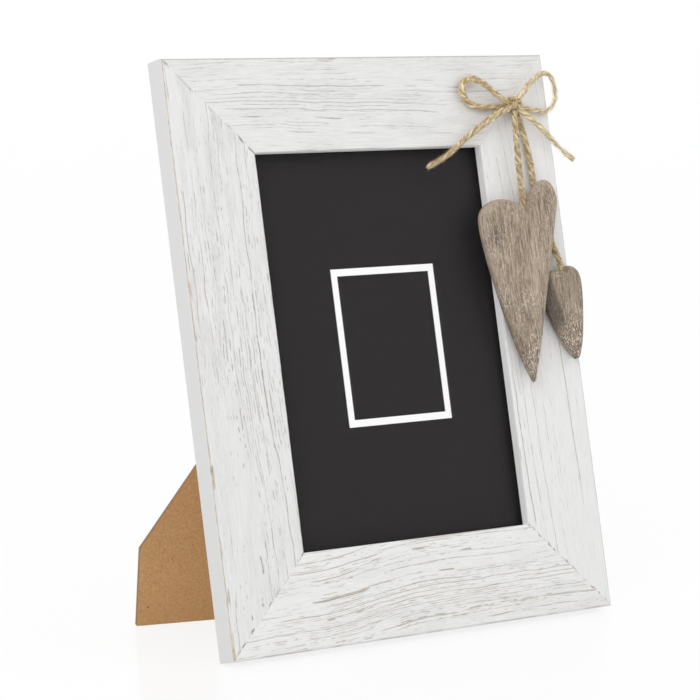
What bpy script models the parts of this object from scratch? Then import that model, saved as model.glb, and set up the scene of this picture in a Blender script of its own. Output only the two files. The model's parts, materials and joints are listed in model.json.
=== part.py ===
"""Whitewashed wooden photo frame with a twine bow and two hanging wooden hearts.

The picture frame is modelled upright in its own axes: X to the right, Y to the back with
0 on the back plane, Z up with 0 on the bottom edge. The empty frame_lean then leans it
back, so that it stands on its lower rear edge and on the foot of its easel leg.
"""
import math

import bmesh
import bpy
import numpy as np
from mathutils import Euler, Matrix, Vector

MM = 0.001
FIT = 0.3 * MM                  # clearance between pieces that touch

# Picture, moulding and the stack in the rebate
PHOTO_WIDTH = 130 * MM
PHOTO_HEIGHT = 180 * MM
PHOTO_PLAY = 0.5 * MM           # room round the picture in the rebate, each side
REBATE = 5.5 * MM               # how far the lip covers the glass
MOULDING_WIDTH = 41 * MM
MOULDING_DEPTH = 11 * MM
LIP = 4.5 * MM                  # wood in front of the glass
ARRIS = 1.2 * MM                # round on the outer front edges
SIGHT_ROUND = 1.5 * MM          # round on the edges of the sight opening
MITRE_GAP = 0.15 * MM           # each rail ends this far from the mitre line
GLASS_THICKNESS = 2.0 * MM
CARD_THICKNESS = 0.5 * MM
BOARD_THICKNESS = 3.0 * MM
LEAN = math.radians(12.44)

# Corner nails, driven into the mitres from the back
NAIL_INSET = 17 * MM            # apex from the outer edges
NAIL_LEG = 8 * MM
NAIL_SHEET = 0.8 * MM
NAIL_DEPTH = 6 * MM

# Easel leg and its hinge
HINGE_RISE = 31 * MM            # hinge above the middle of the back board
LEG_SLANT = math.radians(30)    # leg's direction from straight down, to the left
LEG_OPEN = math.radians(24.8)   # leg's angle to the back when it stands
LEG_THICKNESS = 2.5 * MM
LEG_TOP_WIDTH = 32 * MM
FOOT_CORNER = -9.5 * MM         # foot's outer corner, from the leg's centre line
FOOT_EDGE = 48 * MM             # edge that stands on the table, frame upright
SIDE_EDGE = 35.6 * MM           # edge that stands on the table, frame on its side
LEAF_WIDTH = 28 * MM
LEAF_LENGTH = 17 * MM
LEAF_THICKNESS = 0.8 * MM
PIN_RADIUS = 0.8 * MM
CENTRE_KNUCKLE = 11.4 * MM
HINGE_RIVET_SPACING = 15 * MM
HINGE_RIVET_REACH = 12.5 * MM   # rivets from the pin

# Rivets of the hinge and the hanger
RIVET_SHANK = 1.2 * MM
RIVET_HEAD = 2.3 * MM
RIVET_HEAD_RISE = 0.8 * MM
RIVET_RIM = 0.82                # flat top of a head, of its radius
RIVET_BORE_PLAY = 0.25 * MM

# Turn buttons that hold the back board, and their screws
BUTTON_SPREAD = 45 * MM         # above and below the middle of the stile
BUTTON_SETBACK = 7 * MM         # pivot from the rebate's wall
BUTTON_REACH = 11 * MM          # pivot to the centre of the round tip
BUTTON_PIVOT_RADIUS = 5.0 * MM
BUTTON_TIP_RADIUS = 3.6 * MM
BUTTON_THICKNESS = 1.0 * MM
SCREW_HEAD_RADIUS = 2.9 * MM
SCREW_HEAD_RISE = 1.5 * MM
SCREW_SHANK_RADIUS = 1.3 * MM
SCREW_LENGTH = 7.5 * MM         # below the button, tip included
SCREW_SLOT = 0.7 * MM

# Wire hanger at the top of the back board
HANGER_DROP = 10 * MM           # ring's axis below the board's top edge
STRAP_WIDTH = 8 * MM
STRAP_LENGTH = 13 * MM
STRAP_THICKNESS = 0.7 * MM
STRAP_RIVET_REACH = 8 * MM
RING_WIRE = 0.8 * MM            # radius
RING_BASE = 17 * MM
RING_HEIGHT = 16 * MM
RING_CORNER = 2.6 * MM

# Twine bow on the right-hand upper mitre
TWINE_RADIUS = 1.4 * MM
KNOT_FROM_SIDE = 23.4 * MM
KNOT_FROM_TOP = 23.8 * MM
GLUE_RADIUS = 3.0 * MM
GLUE_THICKNESS = 0.4 * MM
KNOT_CORE = (4.3 * MM, 2.9 * MM, 3.8 * MM)
KNOT_OVER_RING = 3.25 * MM      # ring radii of the two wraps
KNOT_UNDER_RING = 2.85 * MM
WRAP_RADIUS = 1.26 * MM         # twine pulled tight in the knot
WRAP_OVER_TILT = math.radians(55)
WRAP_UNDER_TILT = math.radians(-38)
HOLE_DEPTH = 7 * MM             # blind hole in each heart's notch

# Large heart, measured from its notch
LARGE_DROP = 76.3 * MM
LARGE_LEFT_WIDTH = 23.3 * MM
LARGE_LEFT_CREST = 10.9 * MM
LARGE_LEFT_RISE = 5.8 * MM
LARGE_LEFT_BULGE = -3.9 * MM
LARGE_LEFT_FULLNESS = 0.19      # how long the flank stays wide, of its height
LARGE_LEFT_POINT = 0.30         # how blunt it runs into the tip, of its width
LARGE_LEFT_BEND = 0.88          # where it turns in to the tip, of the drop
LARGE_RIGHT_WIDTH = 17.1 * MM
LARGE_RIGHT_CREST = 11.2 * MM
LARGE_RIGHT_RISE = 15.0 * MM
LARGE_RIGHT_BULGE = 4.9 * MM
LARGE_RIGHT_FULLNESS = 0.0
LARGE_RIGHT_POINT = 0.32
LARGE_RIGHT_BEND = 0.69
LARGE_FRONT = 5.0 * MM
LARGE_BACK = 3.6 * MM
LARGE_NOTCH = (-2.75 * MM, -5.6 * MM, -49.0 * MM)      # from the knot
LARGE_TURN = math.radians(4.43)     # tip to the left
LARGE_TWIST = math.radians(-8.0)    # right side lifted by the twine behind it

# Small heart, measured from its notch
SMALL_DROP = 39.6 * MM
SMALL_LEFT_WIDTH = 12.7 * MM
SMALL_LEFT_CREST = 7.8 * MM
SMALL_LEFT_RISE = 1.4 * MM
SMALL_LEFT_BULGE = -11.1 * MM
SMALL_LEFT_FULLNESS = 0.29
SMALL_LEFT_POINT = 0.39
SMALL_LEFT_BEND = 0.88
SMALL_RIGHT_WIDTH = 8.7 * MM
SMALL_RIGHT_CREST = 2.6 * MM
SMALL_RIGHT_RISE = 2.6 * MM
SMALL_RIGHT_BULGE = -4.5 * MM
SMALL_RIGHT_FULLNESS = 0.28
SMALL_RIGHT_POINT = 0.38
SMALL_RIGHT_BEND = 0.92
SMALL_FRONT = 4.4 * MM
SMALL_BACK = 3.2 * MM
SMALL_NOTCH = (16.6 * MM, -3.3 * MM, -76.6 * MM)        # from the knot
SMALL_TURN = math.radians(-2.6)     # tip to the right
SMALL_TWIST = 0.0

# Routes of the twine from the knot: across, out from the face, up
LEFT_LOOP = ((-4.5, 5.7, 1.5), (-9.0, 5.6, 4.4), (-13.9, 4.6, 9.2), (-19.6, 3.3, 12.4),
             (-24.2, 2.8, 11.2), (-26.2, 2.6, 6.6), (-23.2, 2.5, 1.9), (-17.0, 2.3, -0.1),
             (-10.4, 2.2, -0.3), (-4.5, 2.2, -0.5))
RIGHT_LOOP = ((3.2, 5.7, 3.1), (6.6, 5.8, 6.2), (12.0, 5.3, 10.6), (18.6, 4.6, 14.0),
              (23.6, 4.0, 13.2), (26.2, 3.3, 7.6), (25.3, 2.7, 0.9), (20.0, 2.3, -2.8),
              (12.0, 2.2, -1.8), (4.5, 2.2, -0.6))
LEFT_TAIL = ((-4.3, 5.8, -1.8), (-10.2, 5.5, -3.9), (-18.0, 4.5, -8.4), (-27.3, 3.6, -13.9),
             (-37.6, 3.1, -20.6), (-44.4, 3.0, -24.0), (-50.8, 3.0, -26.5))
RIGHT_TAIL = ((3.5, 5.8, -3.2), (7.2, 5.6, -5.6), (12.6, 5.0, -9.5), (19.3, 4.3, -15.5),
              (25.8, 4.0, -21.4), (31.4, 4.0, -25.7))
LARGE_STRING = ((-0.7, 5.8, -4.3), (-1.4, 6.1, -9.0), (-2.1, 6.1, -21.0), (-2.6, 5.9, -36.0))
SMALL_STRING = ((4.3, 2.0, -4.0), (5.2, 2.0, -8.0), (6.7, 2.0, -20.3), (8.4, 1.9, -35.0),
                (11.6, 1.9, -52.0), (14.4, 2.5, -65.0))
LOOP_POINTS = 24                # along a bow's loop
TAIL_POINTS = 9                 # along a tail or a string

# Sizes that follow
SIGHT_WIDTH = PHOTO_WIDTH + 2 * PHOTO_PLAY - 2 * REBATE
SIGHT_HEIGHT = PHOTO_HEIGHT + 2 * PHOTO_PLAY - 2 * REBATE
FRAME_WIDTH = SIGHT_WIDTH + 2 * MOULDING_WIDTH
FRAME_HEIGHT = SIGHT_HEIGHT + 2 * MOULDING_WIDTH
FACE = -MOULDING_DEPTH
LEDGE = FACE + LIP
GLASS_FRONT = LEDGE + FIT
CARD_FRONT = GLASS_FRONT + GLASS_THICKNESS + FIT
BOARD_FRONT = CARD_FRONT + CARD_THICKNESS + FIT
BOARD_BACK = BOARD_FRONT + BOARD_THICKNESS
MIDDLE = FRAME_HEIGHT / 2
KNUCKLE_BORE = PIN_RADIUS + FIT
KNUCKLE_RADIUS = KNUCKLE_BORE + LEAF_THICKNESS
PIN_HEIGHT = BOARD_BACK + FIT + KNUCKLE_RADIUS
HINGE_HEIGHT = MIDDLE + HINGE_RISE
LEG_FACE = KNUCKLE_RADIUS + FIT
BUTTON_FRONT = max(BOARD_BACK, 0.0) + FIT
BUTTON_PIVOT = PHOTO_WIDTH / 2 + PHOTO_PLAY + BUTTON_SETBACK
STRAP_BORE = RING_WIRE + FIT
RING_AXIS_DEPTH = BOARD_BACK + FIT + STRAP_THICKNESS + STRAP_BORE
RING_AXIS_HEIGHT = MIDDLE + PHOTO_HEIGHT / 2 - HANGER_DROP
KNOT_FLATNESS = KNOT_CORE[1] / KNOT_CORE[0]
KNOT_HALF_DEPTH = max(KNOT_CORE[1], (KNOT_OVER_RING + WRAP_RADIUS) * KNOT_FLATNESS)
KNOT_STANDOFF = 2 * FIT + GLUE_THICKNESS + KNOT_HALF_DEPTH


def clear_scene():
    """Empty the scene of whatever it opened with."""
    for obj in list(bpy.data.objects):
        bpy.data.objects.remove(obj, do_unlink=True)


def material(name, colour, roughness, metallic=0.0):
    """A Principled material of one colour."""
    made = bpy.data.materials.new(name)
    made.use_nodes = True
    shader = made.node_tree.nodes["Principled BSDF"]
    shader.inputs["Base Color"].default_value = (*colour, 1.0)
    shader.inputs["Roughness"].default_value = roughness
    shader.inputs["Metallic"].default_value = metallic
    return made


def empty(name, parent=None, location=(0, 0, 0), rotation=(0, 0, 0)):
    """An axis that other pieces hang from."""
    made = bpy.data.objects.new(name, None)
    made.empty_display_size = 0.01
    made.parent = parent
    made.location = location
    made.rotation_euler = rotation
    bpy.context.collection.objects.link(made)
    return made


def place(name, data, parent, finish=None, location=(0, 0, 0), rotation=(0, 0, 0)):
    """Put a mesh or curve into the scene as one named piece."""
    made = bpy.data.objects.new(name, data)
    made.parent = parent
    made.location = location
    made.rotation_euler = rotation
    if finish:
        data.materials.append(finish)
    bpy.context.collection.objects.link(made)
    return made


def to_mesh(bm, name, smooth=False):
    """Close a bmesh into a mesh with its faces pointing out."""
    bmesh.ops.remove_doubles(bm, verts=bm.verts, dist=1e-6)
    bmesh.ops.recalc_face_normals(bm, faces=bm.faces)
    mesh = bpy.data.meshes.new(name)
    bm.to_mesh(mesh)
    bm.free()
    if smooth:
        mesh.shade_smooth()
        mesh.set_sharp_from_angle(angle=math.radians(40))
    return mesh


def prism(name, outline, front, back):
    """Extrude an outline of (x, z) points from the depth front to the depth back."""
    bm = bmesh.new()
    face = bm.faces.new([bm.verts.new((x, front, z)) for x, z in outline])
    grown = bmesh.ops.extrude_face_region(bm, geom=[face])
    moved = [v for v in grown["geom"] if isinstance(v, bmesh.types.BMVert)]
    bmesh.ops.translate(bm, verts=moved, vec=(0, back - front, 0))
    return to_mesh(bm, name)


def box(name, low, high):
    """A block between two corners."""
    outline = ((low[0], low[2]), (high[0], low[2]), (high[0], high[2]), (low[0], high[2]))
    return prism(name, outline, low[1], high[1])


def turned(name, profile, segments=16):
    """Turn a profile of (radius, depth) points about the depth axis Y."""
    bm = bmesh.new()
    verts = [bm.verts.new((radius, depth, 0)) for radius, depth in profile]
    edges = [bm.edges.new(pair) for pair in zip(verts, verts[1:])]
    bmesh.ops.spin(bm, geom=verts + edges, axis=(0, 1, 0), cent=(0, 0, 0),
                   angle=math.tau, steps=segments)
    return to_mesh(bm, name, smooth=True)


def rod(name, radius, low, high, segments=16):
    """A plain round rod along Y."""
    return turned(name, ((0, low), (radius, low), (radius, high), (0, high)), segments)


def cut(piece, data, parent, location=(0, 0, 0), rotation=(0, 0, 0), operation="DIFFERENCE"):
    """Cut a shape out of a piece, or join it on, with a hidden tool object."""
    tool = place("tool_" + data.name, data, parent, None, location, rotation)
    tool.hide_render = True
    tool.display_type = "WIRE"
    step = piece.modifiers.new(data.name, "BOOLEAN")
    step.operation = operation
    step.solver = "EXACT"
    step.object = tool


def arc(centre, radius, start, end, steps):
    """Points of an arc about a centre, angles in degrees."""
    angles = np.radians(np.linspace(start, end, steps + 1))
    return [(centre[0] + radius * math.cos(a), centre[1] + radius * math.sin(a)) for a in angles]


def moulding_profile():
    """Section of the moulding as (inward, depth): flat face, lip and rebate."""
    inner = MOULDING_WIDTH
    wall = MOULDING_WIDTH - REBATE
    outer_round = arc((ARRIS, FACE + ARRIS), ARRIS, 180, 270, 4)
    sight_round = arc((inner - SIGHT_ROUND, FACE + SIGHT_ROUND), SIGHT_ROUND, 270, 360, 4)
    return [(0, 0), *outer_round, *sight_round, (inner, LEDGE), (wall, LEDGE), (wall, 0)]


def rail(name, half_length, finish, parent, location, turn):
    """A length of moulding mitred at both ends, its outer edge on the local X axis."""
    bm = bmesh.new()
    loops = []
    for side in (-1, 1):
        ring = [bm.verts.new((side * (half_length - inward - MITRE_GAP), depth, inward))
                for inward, depth in moulding_profile()]
        bm.faces.new(ring)
        loops += [bm.edges.get(pair) for pair in zip(ring, ring[1:] + ring[:1])]
    bmesh.ops.bridge_loops(bm, edges=loops)
    return place(name, to_mesh(bm, name), parent, finish, location, (0, turn, 0))


def nail_outline(play):
    """Right-angled strip of a corner nail with its apex at the origin, grown by play."""
    near = -NAIL_SHEET / 2 - play
    far = NAIL_SHEET / 2 + play
    end = NAIL_LEG + play
    return ((near, near), (end, near), (end, far), (far, far), (far, end), (near, end))


def corner_nails(rails, finish, parent):
    """A corner nail across each mitre, with its slot in both rails."""
    corners = (("top_left", -1, 1), ("top_right", 1, 1),
               ("bottom_left", -1, -1), ("bottom_right", 1, -1))
    for label, across, up in corners:
        apex = (across * (FRAME_WIDTH / 2 - NAIL_INSET), 0,
                MIDDLE + up * (FRAME_HEIGHT / 2 - NAIL_INSET))

        def strip(name, play, depth, proud):
            outline = [(across * x, up * z) for x, z in nail_outline(play)]
            return prism(name, outline, -depth, proud)

        place("corner_nail_" + label, strip("corner_nail_" + label, 0, NAIL_DEPTH, -FIT / 3),
              parent, finish, apex)
        vertical, horizontal = label.split("_")
        for side in (vertical, horizontal):
            slot = strip("nail_slot_" + label + "_" + side, FIT, NAIL_DEPTH + FIT, FIT)
            cut(rails[side], slot, parent, apex)


def make_moulding(finish, nail_finish, parent):
    """Four mitred rails and the nails that hold their corners."""
    half_turn = math.pi
    quarter = math.pi / 2
    rails = {
        "bottom": rail("bottom_rail", FRAME_WIDTH / 2, finish, parent, (0, 0, 0), 0),
        "top": rail("top_rail", FRAME_WIDTH / 2, finish, parent, (0, 0, FRAME_HEIGHT), half_turn),
        "left": rail("left_stile", FRAME_HEIGHT / 2, finish, parent,
                     (-FRAME_WIDTH / 2, 0, MIDDLE), quarter),
        "right": rail("right_stile", FRAME_HEIGHT / 2, finish, parent,
                      (FRAME_WIDTH / 2, 0, MIDDLE), -quarter),
    }
    corner_nails(rails, nail_finish, parent)
    return rails


def sheet(name, front, thickness, finish, parent):
    """A sheet of the picture's size in the rebate."""
    low = (-PHOTO_WIDTH / 2, front, MIDDLE - PHOTO_HEIGHT / 2)
    high = (PHOTO_WIDTH / 2, front + thickness, MIDDLE + PHOTO_HEIGHT / 2)
    return place(name, box(name, low, high), parent, finish)


def leaf_section(length, thickness, bore):
    """Section (depth, up) of a metal strip that curls round a pin at the origin.

    The strip lies on the pin's front side and runs up from it, and its end goes three
    quarters of the way round the pin.
    """
    outer = bore + thickness
    outside = arc((0, 0), outer, 180, 450, 14)
    inside = arc((0, 0), bore, 450, 180, 14)
    return [(-outer, length), *outside, *inside, (-bore, length)]


def strip_mesh(name, section, width):
    """Extrude a (depth, up) section across X, centred."""
    bm = bmesh.new()
    face = bm.faces.new([bm.verts.new((-width / 2, depth, up)) for depth, up in section])
    grown = bmesh.ops.extrude_face_region(bm, geom=[face])
    moved = [v for v in grown["geom"] if isinstance(v, bmesh.types.BMVert)]
    bmesh.ops.translate(bm, verts=moved, vec=(width, 0, 0))
    return to_mesh(bm, name)


def rivet_profile(low, high):
    """Profile of a rivet whose two heads bear on the depths low and high."""
    rim = RIVET_HEAD * RIVET_RIM
    return ((0, low - RIVET_HEAD_RISE), (rim, low - RIVET_HEAD_RISE), (RIVET_HEAD, low),
            (RIVET_SHANK, low), (RIVET_SHANK, high), (RIVET_HEAD, high),
            (rim, high + RIVET_HEAD_RISE), (0, high + RIVET_HEAD_RISE))


def rivet(name, low, high, spot, parent, finish, pieces):
    """A rivet through pieces that fill the depths low to high, with its bores."""
    place(name, turned(name, rivet_profile(low - FIT / 2, high + FIT / 2)), parent, finish, spot)
    for piece in pieces:
        bore = rod("bore_" + name + "_" + piece.name, RIVET_SHANK + RIVET_BORE_PLAY,
                   low - FIT, high + FIT)
        cut(piece, bore, parent, spot)


def sunk_rivet(name, sink, high, spot, parent, finish, board, strap):
    """A rivet through a strap, whose front head lies in a counterbore in the back board."""
    seat = sink + RIVET_HEAD_RISE + FIT
    rivet(name, seat, high, spot, parent, finish, (strap,))
    bore = RIVET_SHANK + RIVET_BORE_PLAY
    well = RIVET_HEAD + FIT
    stepped = ((0, sink - FIT), (well, sink - FIT), (well, seat), (bore, seat),
               (bore, high + FIT), (0, high + FIT))
    cut(board, turned("well_" + name, stepped), parent, spot)


def floor_drop(across):
    """How far down the open leg's front face the table lies, at a place across the leg."""
    rise = HINGE_HEIGHT - across * math.sin(LEG_SLANT)
    rise += LEG_FACE * math.sin(LEG_OPEN) * math.cos(LEG_SLANT)
    depth = PIN_HEIGHT + LEG_FACE * math.cos(LEG_OPEN)
    fall = math.cos(LEG_OPEN) * math.cos(LEG_SLANT) * math.cos(LEAN)
    fall += math.sin(LEG_OPEN) * math.sin(LEAN)
    return (rise * math.cos(LEAN) - depth * math.sin(LEAN)) / fall


def leg_outline():
    """Outline (across, up) of the easel leg from its hinge pin."""
    corner = Vector((FOOT_CORNER, -floor_drop(FOOT_CORNER)))
    along = Vector((FOOT_EDGE, floor_drop(FOOT_CORNER) - floor_drop(FOOT_CORNER + FOOT_EDGE)))
    along.normalize()
    upright = Vector((-along.y, along.x))
    heel = (LEG_FACE * math.cos(LEG_OPEN) + KNUCKLE_BORE - FIT) / math.sin(LEG_OPEN)
    half = LEG_TOP_WIDTH / 2
    toe = corner + along * FOOT_EDGE
    knee = corner + upright * SIDE_EDGE
    return [tuple(corner), tuple(toe), (half, 0), (half, heel), (-half, heel), (-half, 0), tuple(knee)]


def make_hinge_and_leg(board, finishes, frame):
    """Easel leg on a three-knuckle hinge riveted to the back board."""
    steel = finishes["steel"]
    hinge = empty("leg_hinge", frame, (0, PIN_HEIGHT, HINGE_HEIGHT), (0, LEG_SLANT, 0))
    swing = empty("leg_swing", hinge, rotation=(LEG_OPEN, 0, 0))
    section = leaf_section(LEAF_LENGTH, LEAF_THICKNESS, KNUCKLE_BORE)
    gap_end = KNUCKLE_RADIUS + FIT
    half = LEAF_WIDTH / 2 + FIT
    reach = 2 * KNUCKLE_RADIUS

    board_leaf = place("hinge_board_leaf", strip_mesh("hinge_board_leaf", section, LEAF_WIDTH),
                       hinge, steel)
    middle = CENTRE_KNUCKLE / 2 + FIT
    cut(board_leaf, box("middle_gap", (-middle, -reach, -reach), (middle, reach, gap_end)), hinge)

    turned_section = [(-depth, -up) for depth, up in section]
    leg_leaf = place("hinge_leg_leaf", strip_mesh("hinge_leg_leaf", turned_section, LEAF_WIDTH),
                     swing, steel)
    for side, label in ((-1, "left_gap"), (1, "right_gap")):
        ends = sorted((side * CENTRE_KNUCKLE / 2, side * half))
        gap = box(label, (ends[0], -reach, -gap_end), (ends[1], reach, reach))
        cut(leg_leaf, gap, swing)

    pin = rod("hinge_pin", PIN_RADIUS, -LEAF_WIDTH / 2, LEAF_WIDTH / 2, 12)
    place("hinge_pin", pin, hinge, steel, rotation=(0, 0, math.pi / 2))

    leg = prism("easel_leg", leg_outline(), LEG_FACE, LEG_FACE + LEG_THICKNESS)
    leg = place("easel_leg", leg, swing, finishes["hardboard"])

    leaf_back = -KNUCKLE_BORE
    for number, side in ((1, -1), (2, 1)):
        across = side * HINGE_RIVET_SPACING / 2
        sunk_rivet("hinge_board_rivet_%d" % number, BOARD_FRONT - PIN_HEIGHT + FIT / 2, leaf_back,
                   (across, 0, HINGE_RIVET_REACH), hinge, steel, board, board_leaf)
        rivet("hinge_leg_rivet_%d" % number, KNUCKLE_BORE, LEG_FACE + LEG_THICKNESS,
              (across, 0, -HINGE_RIVET_REACH), swing, steel, (leg_leaf, leg))


def button_outline(reach):
    """Outline of a turn button that points along +X: two rounds and their tangents."""
    lift = math.degrees(math.acos((BUTTON_PIVOT_RADIUS - BUTTON_TIP_RADIUS) / reach))
    pivot_round = arc((0, 0), BUTTON_PIVOT_RADIUS, lift, 360 - lift, 12)
    tip_round = arc((reach, 0), BUTTON_TIP_RADIUS, -lift, lift, 8)
    return pivot_round + tip_round


def make_buttons(rails, finishes, frame):
    """Four turn buttons, two on each stile, on slotted screws."""
    button_back = BUTTON_FRONT + BUTTON_THICKNESS
    head = button_back + FIT / 2
    tip = head - SCREW_LENGTH - BUTTON_THICKNESS
    screw_profile = ((0, tip), (SCREW_SHANK_RADIUS, tip + 2 * SCREW_SHANK_RADIUS),
                     (SCREW_SHANK_RADIUS, head), (SCREW_HEAD_RADIUS, head),
                     (SCREW_HEAD_RADIUS * 0.86, head + SCREW_HEAD_RISE * 0.65),
                     (SCREW_HEAD_RADIUS * 0.5, head + SCREW_HEAD_RISE), (0, head + SCREW_HEAD_RISE))
    spots = (("left", 1, BUTTON_SPREAD), ("left", 1, -BUTTON_SPREAD),
             ("right", -1, BUTTON_SPREAD), ("right", -1, -BUTTON_SPREAD))
    for number, (side, inward, up) in enumerate(spots, 1):
        axis = empty("button_axis_%d" % number, frame, (-inward * BUTTON_PIVOT, 0, MIDDLE + up))
        outline = [(inward * x, z) for x, z in button_outline(BUTTON_REACH)]
        name = "turn_button_%d" % number
        button = place(name, prism(name, outline, BUTTON_FRONT, button_back), axis, finishes["steel"])
        hole = rod("hole_" + name, SCREW_SHANK_RADIUS + FIT, BUTTON_FRONT - FIT, button_back + FIT)
        cut(button, hole, axis)
        name = "button_screw_%d" % number
        screw = place(name, turned(name, screw_profile), axis, finishes["steel"])
        top = head + SCREW_HEAD_RISE
        slot = box("slot_" + name, (-SCREW_HEAD_RADIUS * 1.2, top - SCREW_SLOT, -SCREW_SLOT / 2),
                   (SCREW_HEAD_RADIUS * 1.2, top + FIT, SCREW_SLOT / 2))
        cut(screw, slot, axis)
        pilot = rod("pilot_" + name, SCREW_SHANK_RADIUS + FIT / 2, tip - FIT, FIT)
        cut(rails[side], pilot, axis)


def ring_points():
    """Round-cornered triangle of the hanger's wire, hanging down from its base on X."""
    corners = [Vector((-RING_BASE / 2, 0)), Vector((0, -RING_HEIGHT)), Vector((RING_BASE / 2, 0))]
    points = []
    for index, corner in enumerate(corners):
        before = (corners[index - 1] - corner).normalized()
        after = (corners[(index + 1) % 3] - corner).normalized()
        half_angle = before.angle(after) / 2
        run = RING_CORNER / math.tan(half_angle)
        centre = corner + (before + after).normalized() * (RING_CORNER / math.sin(half_angle))
        first = corner + before * run - centre
        last = corner + after * run - centre
        sweep = first.angle_signed(last)
        for step in range(7):
            bend = first.copy()
            bend.rotate(Matrix.Rotation(-sweep * step / 6, 2))
            points.append(centre + bend)
    return [(p.x, 0, p.y) for p in points]


def tube(name, points, radius, finish, parent, cyclic=False, resolution=2):
    """A round tube along points, as a curve with a bevel and filled caps."""
    curve = bpy.data.curves.new(name, "CURVE")
    curve.dimensions = "3D"
    curve.bevel_depth = radius
    curve.bevel_resolution = resolution
    curve.use_fill_caps = not cyclic
    spline = curve.splines.new("POLY")
    spline.points.add(len(points) - 1)
    for point, spot in zip(spline.points, points):
        point.co = (*spot, 1.0)
    spline.use_cyclic_u = cyclic
    return place(name, curve, parent, finish)


def make_hanger(board, finishes, frame):
    """Wire hanger: a strap curled round the ring's base, riveted to the back board."""
    steel = finishes["steel"]
    axis = empty("hanger_axis", frame, (0, RING_AXIS_DEPTH, RING_AXIS_HEIGHT))
    section = [(depth, -up) for depth, up in leaf_section(STRAP_LENGTH, STRAP_THICKNESS, STRAP_BORE)]
    strap = place("hanger_strap", strip_mesh("hanger_strap", section, STRAP_WIDTH), axis, steel)
    sunk_rivet("hanger_rivet", BOARD_FRONT - RING_AXIS_DEPTH + FIT / 2, -STRAP_BORE,
               (0, 0, -STRAP_RIVET_REACH), axis, steel, board, strap)
    plumb = empty("hanger_swing", axis, rotation=(LEAN, 0, 0))
    tube("hanger_ring", ring_points(), RING_WIRE, steel, plumb, cyclic=True, resolution=1)


def smooth_route(points, count):
    """Evenly spaced points on a smooth curve through the route's own points."""
    knots = np.array(points)
    padded = np.vstack((2 * knots[0] - knots[1], knots, 2 * knots[-1] - knots[-2]))
    fine = []
    for p0, p1, p2, p3 in zip(padded, padded[1:], padded[2:], padded[3:]):
        t = np.linspace(0, 1, 20, endpoint=False)[:, None]
        fine.append(0.5 * (2 * p1 + (p2 - p0) * t + (2 * p0 - 5 * p1 + 4 * p2 - p3) * t ** 2
                           + (3 * p1 - p0 - 3 * p2 + p3) * t ** 3))
    fine = np.vstack((*fine, knots[-1:]))
    length = np.concatenate(((0,), np.cumsum(np.linalg.norm(np.diff(fine, axis=0), axis=1))))
    stops = np.linspace(0, length[-1], count)
    return np.stack([np.interp(stops, length, fine[:, i]) for i in range(3)], axis=1)


def from_face(route):
    """Route points in metres, with the distance out from the face turned into depth."""
    return [Vector((across * MM, -out * MM, up * MM)) for across, out, up in route]


def make_knot(finish, parent):
    """The bow's knot: a rounded core with two turns of twine crossing over it."""
    bm = bmesh.new()
    bmesh.ops.create_uvsphere(bm, u_segments=16, v_segments=10, radius=1.0)
    bmesh.ops.scale(bm, vec=KNOT_CORE, verts=bm.verts)
    knot = place("bow_knot", to_mesh(bm, "bow_knot", smooth=True), parent, finish,
                 (0, -KNOT_STANDOFF, 0))
    wraps = (("wrap_over", KNOT_OVER_RING, WRAP_OVER_TILT),
             ("wrap_under", KNOT_UNDER_RING, WRAP_UNDER_TILT))
    for label, ring, tilt in wraps:
        bm = bmesh.new()
        circle = bmesh.ops.create_circle(bm, segments=10, radius=WRAP_RADIUS)
        bmesh.ops.rotate(bm, verts=circle["verts"], matrix=Matrix.Rotation(math.pi / 2, 3, "X"))
        bmesh.ops.translate(bm, verts=circle["verts"], vec=(ring, 0, 0))
        bmesh.ops.spin(bm, geom=list(bm.verts) + list(bm.edges), axis=(0, 0, 1), cent=(0, 0, 0),
                       angle=math.tau, steps=22)
        flatten = Matrix.Diagonal((1.0, KNOT_FLATNESS, 1.0, 1.0))
        bmesh.ops.transform(bm, matrix=flatten, verts=bm.verts)
        wrap = to_mesh(bm, label, smooth=True)
        cut(knot, wrap, parent, (0, -KNOT_STANDOFF, 0), (0, tilt, 0), "UNION")


def bezier(points, steps):
    """Points of a cubic Bezier, without its last one."""
    p0, p1, p2, p3 = (np.array(p) for p in points)
    t = np.linspace(0, 1, steps, endpoint=False)[:, None]
    return p0 * (1 - t) ** 3 + 3 * p1 * t * (1 - t) ** 2 + 3 * p2 * t ** 2 * (1 - t) + p3 * t ** 3


def heart_half(width, crest, rise, bulge, fullness, point, bend, drop):
    """Half of a heart's outline from its notch over the lobe to its tip, on the +X side."""
    quarter = 0.5523
    inner = ((0, 0), (0.25 * crest, 0.55 * rise), (0.58 * crest, rise), (crest, rise))
    shoulder = ((crest, rise), (crest + quarter * (width - crest), rise),
                (width, bulge + quarter * (rise - bulge)), (width, bulge))
    flank = ((width, bulge), (width, bulge - fullness * (drop + bulge)),
             (point * width, -bend * drop), (0, -drop))
    return np.vstack((bezier(inner, 6), bezier(shoulder, 7), bezier(flank, 11)))


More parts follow.
